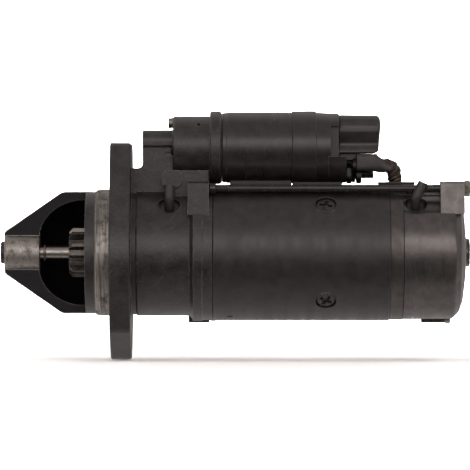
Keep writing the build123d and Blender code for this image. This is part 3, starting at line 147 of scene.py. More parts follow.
def enamel_on_casting(name, colour, light, bare=False, sheen=(0.3, 0.42)):
    """Satin black enamel sprayed over sand-cast iron.

    Gives the eye a warm grey-black with a soft sheen, a pebbled cast skin under the paint, and paint worn
    thin along the edges. The pebbles and the lathe marks are drawn coarser than real ones, so that they show.
    With bare set, the nose boss and the spigot of the drive end housing are machined and unpainted, and the
    hollow of the nose and the flat faces where it opens are darkened as painted shade, with light flecks on
    the flat faces as painted glints beside their worn edges.
    """
    material, tree, output, place, axes = fresh(name)
    skin = add(tree, "TexNoise", {"Vector": place, "Scale": 1 / (1.4 * MM), "Detail": 4.0, "Roughness": 0.6})
    wave = add(tree, "TexNoise", {"Vector": place, "Scale": 1 / (8 * MM), "Detail": 3.0})
    scuffs = add(tree, "TexNoise", {"Vector": place, "Scale": 1 / (2.2 * MM), "Detail": 3.0})
    rounded, corner = corners(tree, 0.9)
    rubbed = add(
        tree, "MapRange",
        {"Value": scuffs, "From Min": 0.38, "From Max": 0.66, "To Min": 0.08, "To Max": 0.8},
    )
    worn = add(tree, "Math", {0: corner, 1: rubbed}, operation="MULTIPLY")
    drift = add(tree, "MapRange", {"Value": wave, "From Min": 0.35, "From Max": 0.65})
    paint = add(tree, "Mix", {0: drift, 6: linear(colour), 7: linear(light)}, data_type="RGBA")
    grit = add(tree, "MapRange", {"Value": skin, "From Min": 0.56, "From Max": 0.7, "To Max": 0.4})
    paint = add(tree, "Mix", {0: grit, 6: paint, 7: linear("#4b4643")}, data_type="RGBA")
    paint = add(tree, "Mix", {0: worn, 6: paint, 7: linear("#7c766f")}, data_type="RGBA")
    swell = add(tree, "Bump", {"Height": wave, "Distance": 0.25 * MM, "Normal": rounded})
    pebble = add(tree, "Bump", {"Height": skin, "Distance": 0.15 * MM, "Normal": swell})
    gloss = add(
        tree, "MapRange",
        {"Value": wave, "From Min": 0.3, "From Max": 0.7, "To Min": sheen[0], "To Max": sheen[1]},
    )
    enamel = add(
        tree, "BsdfPrincipled",
        {"Base Color": paint, "Roughness": gloss, "IOR": 1.5, "Normal": pebble},
    )
    if not bare:
        tree.links.new(enamel.outputs[0], output.inputs["Surface"])
        return material

    wrapped, radius = turned_round(tree, axes)
    cuts = add(
        tree, "TexNoise",
        {"Vector": wrapped, "Scale": 1 / (0.35 * MM), "Detail": 4.0, "Roughness": 0.7},
    )
    stains = add(tree, "TexNoise", {"Vector": place, "Scale": 1 / (6 * MM), "Detail": 5.0, "Roughness": 0.65})
    bright = add(tree, "MapRange", {"Value": cuts, "From Min": 0.3, "From Max": 0.75})
    steel = add(tree, "Mix", {0: bright, 6: linear("#77736d"), 7: linear("#b9b5ae")}, data_type="RGBA")
    tarnish = add(tree, "MapRange", {"Value": stains, "From Min": 0.5, "From Max": 0.68, "To Max": 0.8})
    steel = add(tree, "Mix", {0: tarnish, 6: steel, 7: linear("#4a4138")}, data_type="RGBA")
    cut = add(tree, "Bump", {"Height": cuts, "Distance": 0.03 * MM, "Normal": rounded})
    worn_gloss = add(
        tree, "MapRange",
        {"Value": stains, "From Min": 0.3, "From Max": 0.7, "To Min": 0.42, "To Max": 0.56},
    )
    machined = add(
        tree, "BsdfPrincipled",
        {"Base Color": steel, "Metallic": 1.0, "Roughness": worn_gloss, "Normal": cut},
    )

    # machined boss: small radius, in front of its rear face
    boss = add(tree, "Math", {0: radius, 1: 13.6 * MM}, operation="LESS_THAN")
    front = add(tree, "Math", {0: axes[0], 1: -49.9 * MM}, operation="LESS_THAN")
    boss = add(tree, "Math", {0: boss, 1: front}, operation="MULTIPLY")
    # machined spigot: full radius between the nose and the flange, with overspray left in patches
    land = add(tree, "Math", {0: radius, 1: 43.2 * MM}, operation="GREATER_THAN")
    near = add(tree, "Math", {0: axes[0], 1: -5.1 * MM, 2: 5.08 * MM}, operation="COMPARE")
    land = add(tree, "Math", {0: land, 1: near}, operation="MULTIPLY")
    overspray = add(
        tree, "TexNoise", {"Vector": wrapped, "Scale": 1 / (4 * MM), "Detail": 5.0, "Roughness": 0.7})
    patches = add(tree, "MapRange", {"Value": overspray, "From Min": 0.42, "From Max": 0.5, "To Min": 0.25})
    land = add(tree, "Math", {0: land, 1: patches}, operation="MULTIPLY")
    bare_metal = add(tree, "Math", {0: boss, 1: land}, operation="MAXIMUM")
    # painted shade: the hollow of the nose, and the flat faces where it opens, darkened to near black
    inside = add(tree, "Math", {0: radius, 1: 38.2 * MM}, operation="LESS_THAN")
    nose = add(tree, "Math", {0: axes[0], 1: -16.0 * MM}, operation="LESS_THAN")
    behind = add(tree, "Math", {0: axes[1], 1: -5.5 * MM}, operation="GREATER_THAN")
    inside = add(tree, "Math", {0: inside, 1: behind}, operation="MULTIPLY")
    sawn = add(tree, "Math", {0: axes[1], 1: -6.0 * MM, 2: 0.3 * MM}, operation="COMPARE")
    inside = add(tree, "Math", {0: inside, 1: sawn}, operation="MAXIMUM")
    inside = add(tree, "Math", {0: inside, 1: nose}, operation="MULTIPLY")
    # painted glints: light flecks on the flat faces, joined with their worn lighter corners
    glint_noise = add(tree, "TexNoise", {"Vector": place, "Scale": 1 / (1.2 * MM), "Detail": 4.0, "Roughness": 0.7})
    painted_glints = add(tree, "MapRange", {"Value": glint_noise, "From Min": 0.64, "From Max": 0.74, "To Max": 0.5})
    rim = add(tree, "Math", {0: painted_glints, 1: corner}, operation="MAXIMUM")
    rim = add(tree, "Math", {0: rim, 1: sawn}, operation="MULTIPLY")
    shade_and_glint_tone = add(tree, "Mix", {0: rim, 6: linear("#0b0b0d"), 7: linear("#6b6660")}, data_type="RGBA")
    painted_shade_shader = add(tree, "BsdfPrincipled", {"Base Color": shade_and_glint_tone, "Roughness": 0.5, "IOR": 1.3, "Normal": pebble})
    whole = add(tree, "MixShader", {0: inside, 1: enamel, 2: painted_shade_shader})
    whole = add(tree, "MixShader", {0: bare_metal, 1: whole, 2: machined})
    tree.links.new(whole.outputs[0], output.inputs["Surface"])
    return material


def enamel_on_tube(name, colour, light, centre_z=0.0, ring_mm=0.5, sheen=(0.32, 0.44), metallic=0.0):
    """Satin black enamel over a steel tube that was turned on a lathe.

    The eye gets long soft highlights, broken by faint rings running round the tube, and a slightly uneven
    film. The rings are drawn about five times as coarse as real lathe marks, so that they show. A metallic of
    more than nought is for thin paint over turned aluminium, which shines through it.
    """
    material, tree, output, place, axes = fresh(name)
    wrapped, _ = turned_round(tree, axes, centre_z)
    rings = add(
        tree, "TexNoise",
        {"Vector": wrapped, "Scale": 1 / (ring_mm * MM), "Detail": 3.0, "Roughness": 0.6},
    )
    bands = add(tree, "TexNoise", {"Vector": wrapped, "Scale": 1 / (5 * MM), "Detail": 3.0})
    film = add(tree, "TexNoise", {"Vector": place, "Scale": 1 / (7 * MM), "Detail": 4.0, "Roughness": 0.6})
    dust = add(tree, "TexNoise", {"Vector": place, "Scale": 1 / (0.6 * MM), "Detail": 2.0})
    rounded, corner = corners(tree, 0.5)
    drift = add(tree, "MapRange", {"Value": film, "From Min": 0.35, "From Max": 0.65})
    paint = add(tree, "Mix", {0: drift, 6: linear(colour), 7: linear(light)}, data_type="RGBA")
    edge = add(tree, "Math", {0: corner, 1: 0.35}, operation="MULTIPLY")
    paint = add(tree, "Mix", {0: edge, 6: paint, 7: linear("#6b6660")}, data_type="RGBA")
    gloss = add(
        tree, "MapRange",
        {"Value": bands, "From Min": 0.35, "From Max": 0.65, "To Min": sheen[0], "To Max": sheen[1]},
    )
    grooves = add(tree, "Bump", {"Height": rings, "Distance": 0.025 * MM, "Normal": rounded})
    grain = add(tree, "Bump", {"Height": dust, "Distance": 0.02 * MM, "Normal": grooves})
    shader = add(
        tree, "BsdfPrincipled",
        {"Base Color": paint, "Roughness": gloss, "IOR": 1.5, "Metallic": metallic, "Normal": grain},
    )
    tree.links.new(shader.outputs[0], output.inputs["Surface"])
    return material


def turned_metal(name, colour, light, rough=0.3, ring_mm=0.4, stain="#3a342e", stain_amount=0.4):
    """Bare metal turned or ground round the shaft.

    The eye gets fine rings, a stretched highlight and some tarnish. The rings are drawn coarser than real
    grinding marks, so that they show.
    """
    material, tree, output, place, axes = fresh(name)
    wrapped, _ = turned_round(tree, axes)
    rings = add(
        tree, "TexNoise",
        {"Vector": wrapped, "Scale": 1 / (ring_mm * MM), "Detail": 4.0, "Roughness": 0.7},
    )
    blots = add(tree, "TexNoise", {"Vector": place, "Scale": 1 / (4 * MM), "Detail": 4.0, "Roughness": 0.6})
    bright = add(tree, "MapRange", {"Value": rings, "From Min": 0.3, "From Max": 0.75})
    tone = add(tree, "Mix", {0: bright, 6: linear(colour), 7: linear(light)}, data_type="RGBA")
    dull = add(tree, "MapRange", {"Value": blots, "From Min": 0.52, "From Max": 0.75, "To Max": stain_amount})
    tone = add(tree, "Mix", {0: dull, 6: tone, 7: linear(stain)}, data_type="RGBA")
    gloss = add(
        tree, "MapRange",
        {"Value": blots, "From Min": 0.3, "From Max": 0.7, "To Min": rough, "To Max": rough + 0.15},
    )
    rounded, _ = corners(tree, 0.4)
    cut = add(tree, "Bump", {"Height": rings, "Distance": 0.02 * MM, "Normal": rounded})
    shader = add(
        tree, "BsdfPrincipled",
        {"Base Color": tone, "Metallic": 1.0, "Roughness": gloss, "Normal": cut},
    )
    tree.links.new(shader.outputs[0], output.inputs["Surface"])
    return material


def plain_metal(name, colour, light, rough, grain_mm=0.8, edge_light="#9a958c"):
    """Plated, pressed or hardened metal: an even tone, light cloudiness and rubbed edges."""
    material, tree, output, place, _ = fresh(name)
    cloud = add(tree, "TexNoise", {"Vector": place, "Scale": 1 / (3 * MM), "Detail": 4.0, "Roughness": 0.6})
    grain = add(tree, "TexNoise", {"Vector": place, "Scale": 1 / (grain_mm * MM), "Detail": 3.0})
    rounded, corner = corners(tree, 0.4)
    drift = add(tree, "MapRange", {"Value": cloud, "From Min": 0.35, "From Max": 0.65})
    tone = add(tree, "Mix", {0: drift, 6: linear(colour), 7: linear(light)}, data_type="RGBA")
    edge = add(tree, "Math", {0: corner, 1: 0.5}, operation="MULTIPLY")
    tone = add(tree, "Mix", {0: edge, 6: tone, 7: linear(edge_light)}, data_type="RGBA")
    gloss = add(
        tree, "MapRange",
        {"Value": cloud, "From Min": 0.3, "From Max": 0.7, "To Min": rough, "To Max": rough + 0.12},
    )
    bumps = add(tree, "Bump", {"Height": grain, "Distance": 0.02 * MM, "Normal": rounded})
    shader = add(
        tree, "BsdfPrincipled",
        {"Base Color": tone, "Metallic": 1.0, "Roughness": gloss, "Normal": bumps},
    )
    tree.links.new(shader.outputs[0], output.inputs["Surface"])
    return material


def moulded(name, colour, light, rough, grain_mm=0.7, depth_mm=0.02):
    """Moulded plastic, rubber or pressed carbon: dark, close-grained and only faintly glossy."""
    material, tree, output, place, _ = fresh(name)
    cloud = add(tree, "TexNoise", {"Vector": place, "Scale": 1 / (6 * MM), "Detail": 3.0})
    grain = add(tree, "TexNoise", {"Vector": place, "Scale": 1 / (grain_mm * MM), "Detail": 3.0})
    rounded, _ = corners(tree, 0.6)
    drift = add(tree, "MapRange", {"Value": cloud, "From Min": 0.35, "From Max": 0.65})
    tone = add(tree, "Mix", {0: drift, 6: linear(colour), 7: linear(light)}, data_type="RGBA")
    gloss = add(
        tree, "MapRange",
        {"Value": cloud, "From Min": 0.3, "From Max": 0.7, "To Min": rough, "To Max": rough + 0.1},
    )
    bumps = add(tree, "Bump", {"Height": grain, "Distance": depth_mm * MM, "Normal": rounded})
    shader = add(
        tree, "BsdfPrincipled", {"Base Color": tone, "Roughness": gloss, "IOR": 1.5, "Normal": bumps})
    tree.links.new(shader.outputs[0], output.inputs["Surface"])
    return material


def striped_metal(name, pitch_mm, colour, light, metallic, depth_mm):
    """Stacked steel sheets or copper turns side by side: ridges along the shaft, with colour dark in the gaps and
    light on the crowns as painted shade and painted highlight, over the real dark joints between them.
    """
    material, tree, output, place, axes = fresh(name)
    ridge = add(tree, "Math", {0: axes[0], 1: pitch_mm / 2 * MM}, operation="PINGPONG")
    cloud = add(tree, "TexNoise", {"Vector": place, "Scale": 1 / (3 * MM), "Detail": 3.0})
    crown = add(tree, "MapRange", {"Value": ridge, "From Max": pitch_mm / 4 * MM})
    # painted shade in the gaps and painted highlight on the crowns, following the ridge profile
    tone = add(tree, "Mix", {0: crown, 6: linear(colour), 7: linear(light)}, data_type="RGBA")
    gloss = add(
        tree, "MapRange",
        {"Value": cloud, "From Min": 0.3, "From Max": 0.7, "To Min": 0.3, "To Max": 0.45},
    )
    bumps = add(tree, "Bump", {"Height": crown, "Distance": depth_mm * MM})
    shader = add(
        tree, "BsdfPrincipled",
        {"Base Color": tone, "Metallic": metallic, "Roughness": gloss, "Normal": bumps},
    )
    tree.links.new(shader.outputs[0], output.inputs["Surface"])
    return material


def studio_paper(name):
    """Matt white background paper: an even pale tone with a barely visible tooth."""
    material, tree, output, place, _ = fresh(name)
    cloud = add(tree, "TexNoise", {"Vector": place, "Scale": 1 / (40 * MM)})
    tooth = add(tree, "TexNoise", {"Vector": place, "Scale": 1 / (1.5 * MM)})
    tone = add(tree, "Mix", {0: cloud, 6: linear("#f6f5f4"), 7: linear("#fbfbfa")}, data_type="RGBA")
    bumps = add(tree, "Bump", {"Height": tooth, "Distance": 0.02 * MM})
    shader = add(tree, "BsdfPrincipled", {"Base Color": tone, "Roughness": 0.9, "Normal": bumps})
    tree.links.new(shader.outputs[0], output.inputs["Surface"])
    return material


FINISHES = {
    "cast_black": lambda s: enamel_on_casting("Enamel on sand-cast iron", s.enamel, s.enamel_light),
    "case_black": lambda s: enamel_on_tube("Enamel on turned steel tube", s.enamel, s.enamel_light),
    "bare_steel": lambda s: turned_metal("Ground shaft steel", "#7e7a74", "#b3afa7", 0.26),
    "zinc_steel": lambda s: plain_metal("Zinc-plated steel", "#74726a", "#98958a", 0.36),
    "black_fastener": lambda s: enamel_on_tube(
        "Enamel on steel fasteners", s.enamel, s.enamel_light, 0.0, 0.8, (0.2, 0.3)),
    "oiled_steel": lambda s: plain_metal("Hardened oiled steel", "#56524d", "#77736d", 0.3, 0.6),
    "spring_steel": lambda s: plain_metal("Drawn spring steel", "#55565a", "#7a7b80", 0.3, 0.5),
    "lamination": lambda s: striped_metal("Stacked electrical steel", 1.0, "#2c2b2c", "#8d8d90", 1.0, 0.05),
    "copper": lambda s: striped_metal("Enamelled copper winding", 1.6, "#5c2c14", "#b8632f", 0.7, 0.3),
    "bronze": lambda s: turned_metal("Sintered bronze", "#8a6a3c", "#b4915a", 0.36, 0.6),
    "carbon": lambda s: moulded("Pressed carbon", "#1d1d20", "#2b2b30", 0.5, 0.4),
    "moulding": lambda s: moulded("Phenolic moulding", s.moulding, "#1f1d1c", 0.3),
    "rubber": lambda s: moulded("Moulded rubber", "#1d1b1a", "#292624", 0.45, 0.6, 0.03),
    "brass": lambda s: plain_metal("Stamped brass", "#9a7a3a", "#c8a660", 0.3),
    "braid": lambda s: plain_metal("Painted copper strands", "#332d2a", "#5c534c", 0.36, 0.4, "#8a7d72"),
}
made = {}


def finish(slot, settings):
    """The finish of a record's material slot, made once."""
    if slot not in made:
        made[slot] = FINISHES[slot](settings)
    return made[slot]


# ---------------------------------------------------------------- mesh helpers

def as_piece(name, body, slot, *replaced, ride="housing"):
    """Turns a bmesh in millimetres into a smooth object that stands for CAD nodes and rides on a body."""
    bmesh.ops.recalc_face_normals(body, faces=body.faces)
    bmesh.ops.scale(body, vec=(MM, MM, MM), verts=body.verts)
    for edge in body.edges:
        edge.smooth = len(edge.link_faces) < 2 or edge.calc_face_angle(0.0) < math.radians(35)
    for face in body.faces:
        face.smooth = True
    mesh = bpy.data.meshes.new(name)
    body.to_mesh(mesh)
    body.free()
    piece = bpy.data.objects.new(name, mesh)
    bpy.context.scene.collection.objects.link(piece)
    piece.data.materials.append(finish(slot, bpy.context.scene.starter_finish))
    if replaced:
        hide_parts(*replaced)
    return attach(piece, ride)


def skin(body, loops, closed=False, capped=True):
    """Joins loops of points, all with the same count, into one surface; capped closes both ends."""
    rows = [[body.verts.new(point) for point in loop] for loop in loops]
    pairs = list(zip(rows, rows[1:])) + ([(rows[-1], rows[0])] if closed else [])
    for one, two in pairs:
        for i in range(len(one)):
            j = (i + 1) % len(one)
            body.faces.new((one[i], one[j], two[j], two[i]))
    if capped and not closed:
        body.faces.new(list(reversed(rows[0])))
        body.faces.new(rows[-1])
    return rows


def ring(x, radius, centre, count=40, turn=0.0):
    """Points round a line along X; radius is a length, or a function of the angle."""
    points = []
    for i in range(count):
        angle = turn + 2 * math.pi * i / count
        reach = radius(angle) if callable(radius) else radius
        points.append((x, centre[0] + reach * math.cos(angle), centre[1] + reach * math.sin(angle)))
    return points


def turned(body, centre, profile, count=40):
    """A closed turned shape: profile is a list of stations (x, radius)."""
    skin(body, [ring(x, radius, centre, count) for x, radius in profile])


def threaded(body, centre, start, end, radius, pitch):
    """A threaded rod along X with a 60 degree helical groove, chamfered at both ends."""
    depth = 0.61 * pitch
    loops = []
    steps = int((end - start) / (pitch / 6))
    for row in range(steps + 1):
        x = start + (end - start) * row / steps
        taper = max(0.0, 0.8 - (x - start), 0.8 - (end - x))

        def groove(angle, x=x, taper=taper):
            phase = (x / pitch - angle / (2 * math.pi)) % 1.0
            return min(radius - depth * abs(2 * phase - 1), radius - taper)

        loops.append(ring(x, groove, centre, 36))
    skin(body, loops)


def nut(body, centre, start, height, flats, bore=0.0, turn=0.0, both=True):
    """A hexagon along X with corners chamfered by a 30 degree cone, open down the middle if bore is set."""
    def corner_radius(inset):
        def reach(angle):
            sector = (angle - turn + math.pi / 6) % (math.pi / 3) - math.pi / 6
            return min(flats / 2 / math.cos(sector), 0.95 * flats / 2 + inset * 1.73)
        return reach

    stations = [(h, h if both else 9.0) for h in (0.0, 0.15, 0.35, 0.6)]
    stations += [(height - h, h) for h in (0.6, 0.35, 0.15, 0.0)]
    loops = [ring(start + h, corner_radius(inset), centre, 72, turn) for h, inset in stations]
    if bore:
        wall = ((height, bore + 0.5), (height - 0.5, bore), (0.5, bore), (0.0, bore + 0.5))
        loops += [ring(start + h, r, centre, 72, turn) for h, r in wall]
    skin(body, loops, closed=bool(bore))


# ---------------------------------------------------------------- settings

class FinishSettings(bpy.types.PropertyGroup):
    enamel: StringProperty(
        name="Enamel", description="Darker tone of the black enamel, sRGB hex", default="#161413")
    enamel_light: StringProperty(
        name="Enamel, light", description="Lighter tone of the enamel", default="#211e1d")
    moulding: StringProperty(
        name="Moulding", description="Tone of the phenolic hood", default="#171615")


class LeadSettings(bpy.types.PropertyGroup):
    lead_radius: FloatProperty(
        name="Lead radius", description="Half the braided lead's width", default=0.004, unit="LENGTH")
    strands: IntProperty(name="Strands", description="Coarse strands twisted into the lead", default=5)
    twist: FloatProperty(
        name="Lay length", description="Run of lead in which a strand goes once round",
        default=0.017, unit="LENGTH")


class ThreadSettings(bpy.types.PropertyGroup):
    stud_pitch: FloatProperty(
        name="Stud pitch", description="Thread pitch of the terminals", default=0.00125, unit="LENGTH")
    bolt_pitch: FloatProperty(
        name="Bolt pitch", description="Thread pitch of the through bolts", default=0.001, unit="LENGTH")


class StageSettings(bpy.types.PropertyGroup):
    camera_distance: FloatProperty(
        name="Camera distance", description="From the camera to the shaft's plane",
        default=2.7, unit="LENGTH")
    frame_width: FloatProperty(
        name="Frame width", description="Width that the camera sees at the shaft's plane",
        default=0.332, unit="LENGTH")
    aim: FloatVectorProperty(
        name="Aim", description="Point that the camera looks straight at",
        default=(0.0876, 0.0, 0.0124), subtype="XYZ")
    key_power: FloatProperty(name="Key light", description="Power of the front softbox in watts", default=2.0)
    floor_power: FloatProperty(
        name="Floor light", description="Power of the light over the floor in watts", default=42.0)
    paper_power: FloatProperty(
        name="Paper light", description="Power of the light on the paper in watts", default=75.0)
    surround: FloatProperty(
        name="Surround", description="Strength of the light that comes from all round", default=1.0)


# ---------------------------------------------------------------- operators

class STARTER_OT_finishes(bpy.types.Operator):
    """Give every CAD piece the finish of its material slot"""
    bl_idname = "starter.finishes"
    bl_label = "Apply finishes"

    def execute(self, context):
        settings = context.scene.starter_finish
        tones = settings.enamel, settings.enamel_light
        special = {
            "drive_end_housing": enamel_on_casting(
                "Enamel on sand-cast iron, boss and spigot bare", *tones, True),
            "solenoid_case": enamel_on_tube(
                "Enamel on drawn solenoid case", *tones, SOLENOID_Z, 1.6, (0.26, 0.34)),
            "solenoid_cap": enamel_on_tube(
                "Enamel on moulded cap", *tones, SOLENOID_Z, 3.0, (0.28, 0.34)),
            "rear_cover": enamel_on_tube(
                "Thin enamel on turned aluminium", "#4e4b49", "#5b5855", 0.0, 0.6, (0.22, 0.34), 0.85),
            "brush_plate": enamel_on_tube(
                "Thin enamel on turned rim", "#454240", "#504d4a", 0.0, 0.6, (0.26, 0.36), 0.8),
            "lead_lug": plain_metal("Tinned lug under overspray", "#2a2827", "#3f3c39", 0.4, 0.6, "#6b6660"),
        }
        slots = {part["node"]: part["material_slot"] for part in frame["record"]["subparts"]}
        for name, piece in frame["nodes"].items():
            piece.data.materials.clear()
            piece.data.materials.append(special.get(name) or finish(slots[name], settings))
        return {"FINISHED"}


class STARTER_OT_lead(bpy.types.Operator):
    """Twist the field lead's coarse strands along its bend"""
    bl_idname = "starter.lead"
    bl_label = "Build field lead"

    def execute(self, context):
        settings = context.scene.starter_lead
        route = [(172.9, 61.2), (186.8, 61.4), (199.0, 60.9), (200.2, 50.0), (200.2, 43.7)]
        curve = bpy.data.curves.new("lead_route", "CURVE")
        curve.dimensions = "3D"
        spline = curve.splines.new("NURBS")
        spline.points.add(len(route) - 1)
        for point, (x, z) in zip(spline.points, route):
            point.co = (x, LEAD_Y, z, 1.0)
        spline.order_u = 3
        spline.use_endpoint_u = True
        spline.resolution_u = 24
        holder = bpy.data.objects.new("lead_route", curve)
        line = bpy.data.meshes.new_from_object(holder)
        points = [vertex.co.copy() for vertex in line.vertices]
        bpy.data.objects.remove(holder)
        bpy.data.curves.remove(curve)
        bpy.data.meshes.remove(line)

        body = bmesh.new()
        outer = settings.lead_radius / MM
        lay = settings.twist / MM
        side = Vector((0, 1, 0))
        gone = 0.0
        frames = []
        for i, point in enumerate(points):
            ahead = (points[min(i + 1, len(points) - 1)] - points[max(i - 1, 0)]).normalized()
            gone += (point - points[i - 1]).length if i else 0.0
            loose = max(0.0, min(1.0, (point.x - 189.0) / 4, (point.z - 48.6) / 2.5))
            reach = outer * (1 + 0.3 * loose)
            frames.append((point, side, ahead.cross(side), 2 * math.pi * gone / lay, reach))

        def round_off(middle, right, up, radius, count, ripple=0.0, turn=0.0):
            """A loop of points round the lead's line, faintly ribbed where ripple is set."""
            angles = (2 * math.pi * k / count for k in range(count))
            return [
                middle + (right * math.cos(a) + up * math.sin(a))
                * radius * (1 + ripple * math.cos(5 * a - 9 * turn))
                for a in angles
            ]

        for strand in range(settings.strands):
            start = 2 * math.pi * strand / settings.strands
            loops = []
            for point, right, up, turn, reach in frames:
                angle = start + turn
                strand_r = reach * 0.44
                centre = point + (right * math.cos(angle) + up * math.sin(angle)) * (reach - strand_r)
                loops.append(round_off(centre, right, up, strand_r, 20, 0.1, turn))
            skin(body, loops)
        # core that closes the gaps between the strands
        skin(body, [round_off(point, right, up, reach * 0.55, 12) for point, right, up, _, reach in frames])
        as_piece("braided_lead", body, "braid", "field_lead")
        return {"FINISHED"}


class STARTER_OT_boot(bpy.types.Operator):
    """Mould the soft boot over the lead's lug, and the grommet it goes into"""
    bl_idname = "starter.boot"
    bl_label = "Build boot and grommet"

    def execute(self, context):
        body = bmesh.new()
        # station: centre x and z, half width, half height, tilt, squareness
        stations = [
            (172.7, 63.4, 4.7, 4.8, 0, 3.0), (172.8, 63.4, 5.5, 5.5, 0, 3.6),
            (173.3, 63.3, 6.1, 6.1, 0, 4.0), (174.4, 63.3, 6.2, 6.2, 0, 4.0),
            (174.9, 63.3, 5.9, 5.9, 0, 4.0), (176.0, 63.3, 5.9, 5.9, 0, 4.0),
            (180.0, 63.3, 6.0, 6.0, 0, 4.0), (184.0, 63.3, 6.1, 6.1, 0, 4.0),
            (186.2, 63.2, 6.1, 6.2, 0, 3.6), (187.8, 62.3, 6.0, 5.8, 6, 3.2),
            (189.0, 61.6, 5.8, 5.2, 13, 2.8), (190.2, 61.1, 5.6, 5.1, 21, 2.6),
            (191.4, 60.6, 5.5, 4.8, 29, 2.4), (192.6, 60.2, 5.5, 5.1, 37, 2.3),
            (193.8, 59.7, 5.3, 4.8, 45, 2.2), (195.0, 59.2, 5.4, 5.1, 53, 2.1),
            (196.1, 58.7, 5.2, 5.0, 61, 2.0), (196.9, 58.3, 5.2, 5.2, 66, 2.0),
            (197.1, 58.2, 4.6, 4.7, 66, 2.0),
        ]
        loops = []
        for x, z, wide, high, tilt, square in stations:
            lean = math.radians(tilt)
            loop = []
            for i in range(48):
                angle = 2 * math.pi * i / 48
                c, s = math.cos(angle), math.sin(angle)
                across = wide * math.copysign(abs(c) ** (2 / square), c)
                rise = high * math.copysign(abs(s) ** (2 / square), s)
                shift = min(1.1, max(0.0, (x - 185.0) * 0.2))
                loop.append((x + rise * math.sin(lean), -13.1 + shift + across, z + rise * math.cos(lean)))
            loops.append(loop)
        skin(body, loops)
        as_piece("soft_boot", body, "rubber", "lead_boot")

        body = bmesh.new()
        middle = (200.9, LEAD_Y)
        quarter = [math.radians(90 * i + 90 * k / 8) for i in range(4) for k in range(9)]

        def slab(length, width, z, corner):
            """A rounded rectangle of points at height z, nine to a corner."""
            signs = [pair for pair in ((1, 1), (-1, 1), (-1, -1), (1, -1)) for _ in range(9)]
            return [
                (middle[0] + sx * (length / 2 - corner) + corner * math.cos(angle),
                 middle[1] + sy * (width / 2 - corner) + corner * math.sin(angle), z)
                for (sx, sy), angle in zip(signs, quarter)
            ]

        def collar(radius, z):
            """A circle of as many points round the lead at height z."""
            return [
                (200.2 + radius * math.cos(angle), LEAD_Y + radius * math.sin(angle), z)
                for angle in quarter
            ]

        skin(body, [
            slab(24.6, 14.4, 43.1, 2.0), slab(25.0, 14.8, 43.4, 2.2), slab(25.0, 14.8, 47.9, 2.2),
            slab(25.9, 15.9, 48.2, 2.6), slab(26.3, 16.3, 48.7, 2.8), slab(26.2, 16.2, 49.3, 2.8),
            slab(25.4, 15.4, 49.7, 2.4), slab(22.0, 12.4, 49.7, 3.0), collar(6.2, 49.75), collar(5.9, 49.8),
            collar(5.5, 49.7), collar(5.3, 49.4), collar(4.6, 48.0), collar(4.1, 47.0), collar(4.1, 43.1),
        ], closed=True)
        as_piece("lead_grommet", body, "rubber", "grommet")
        return {"FINISHED"}


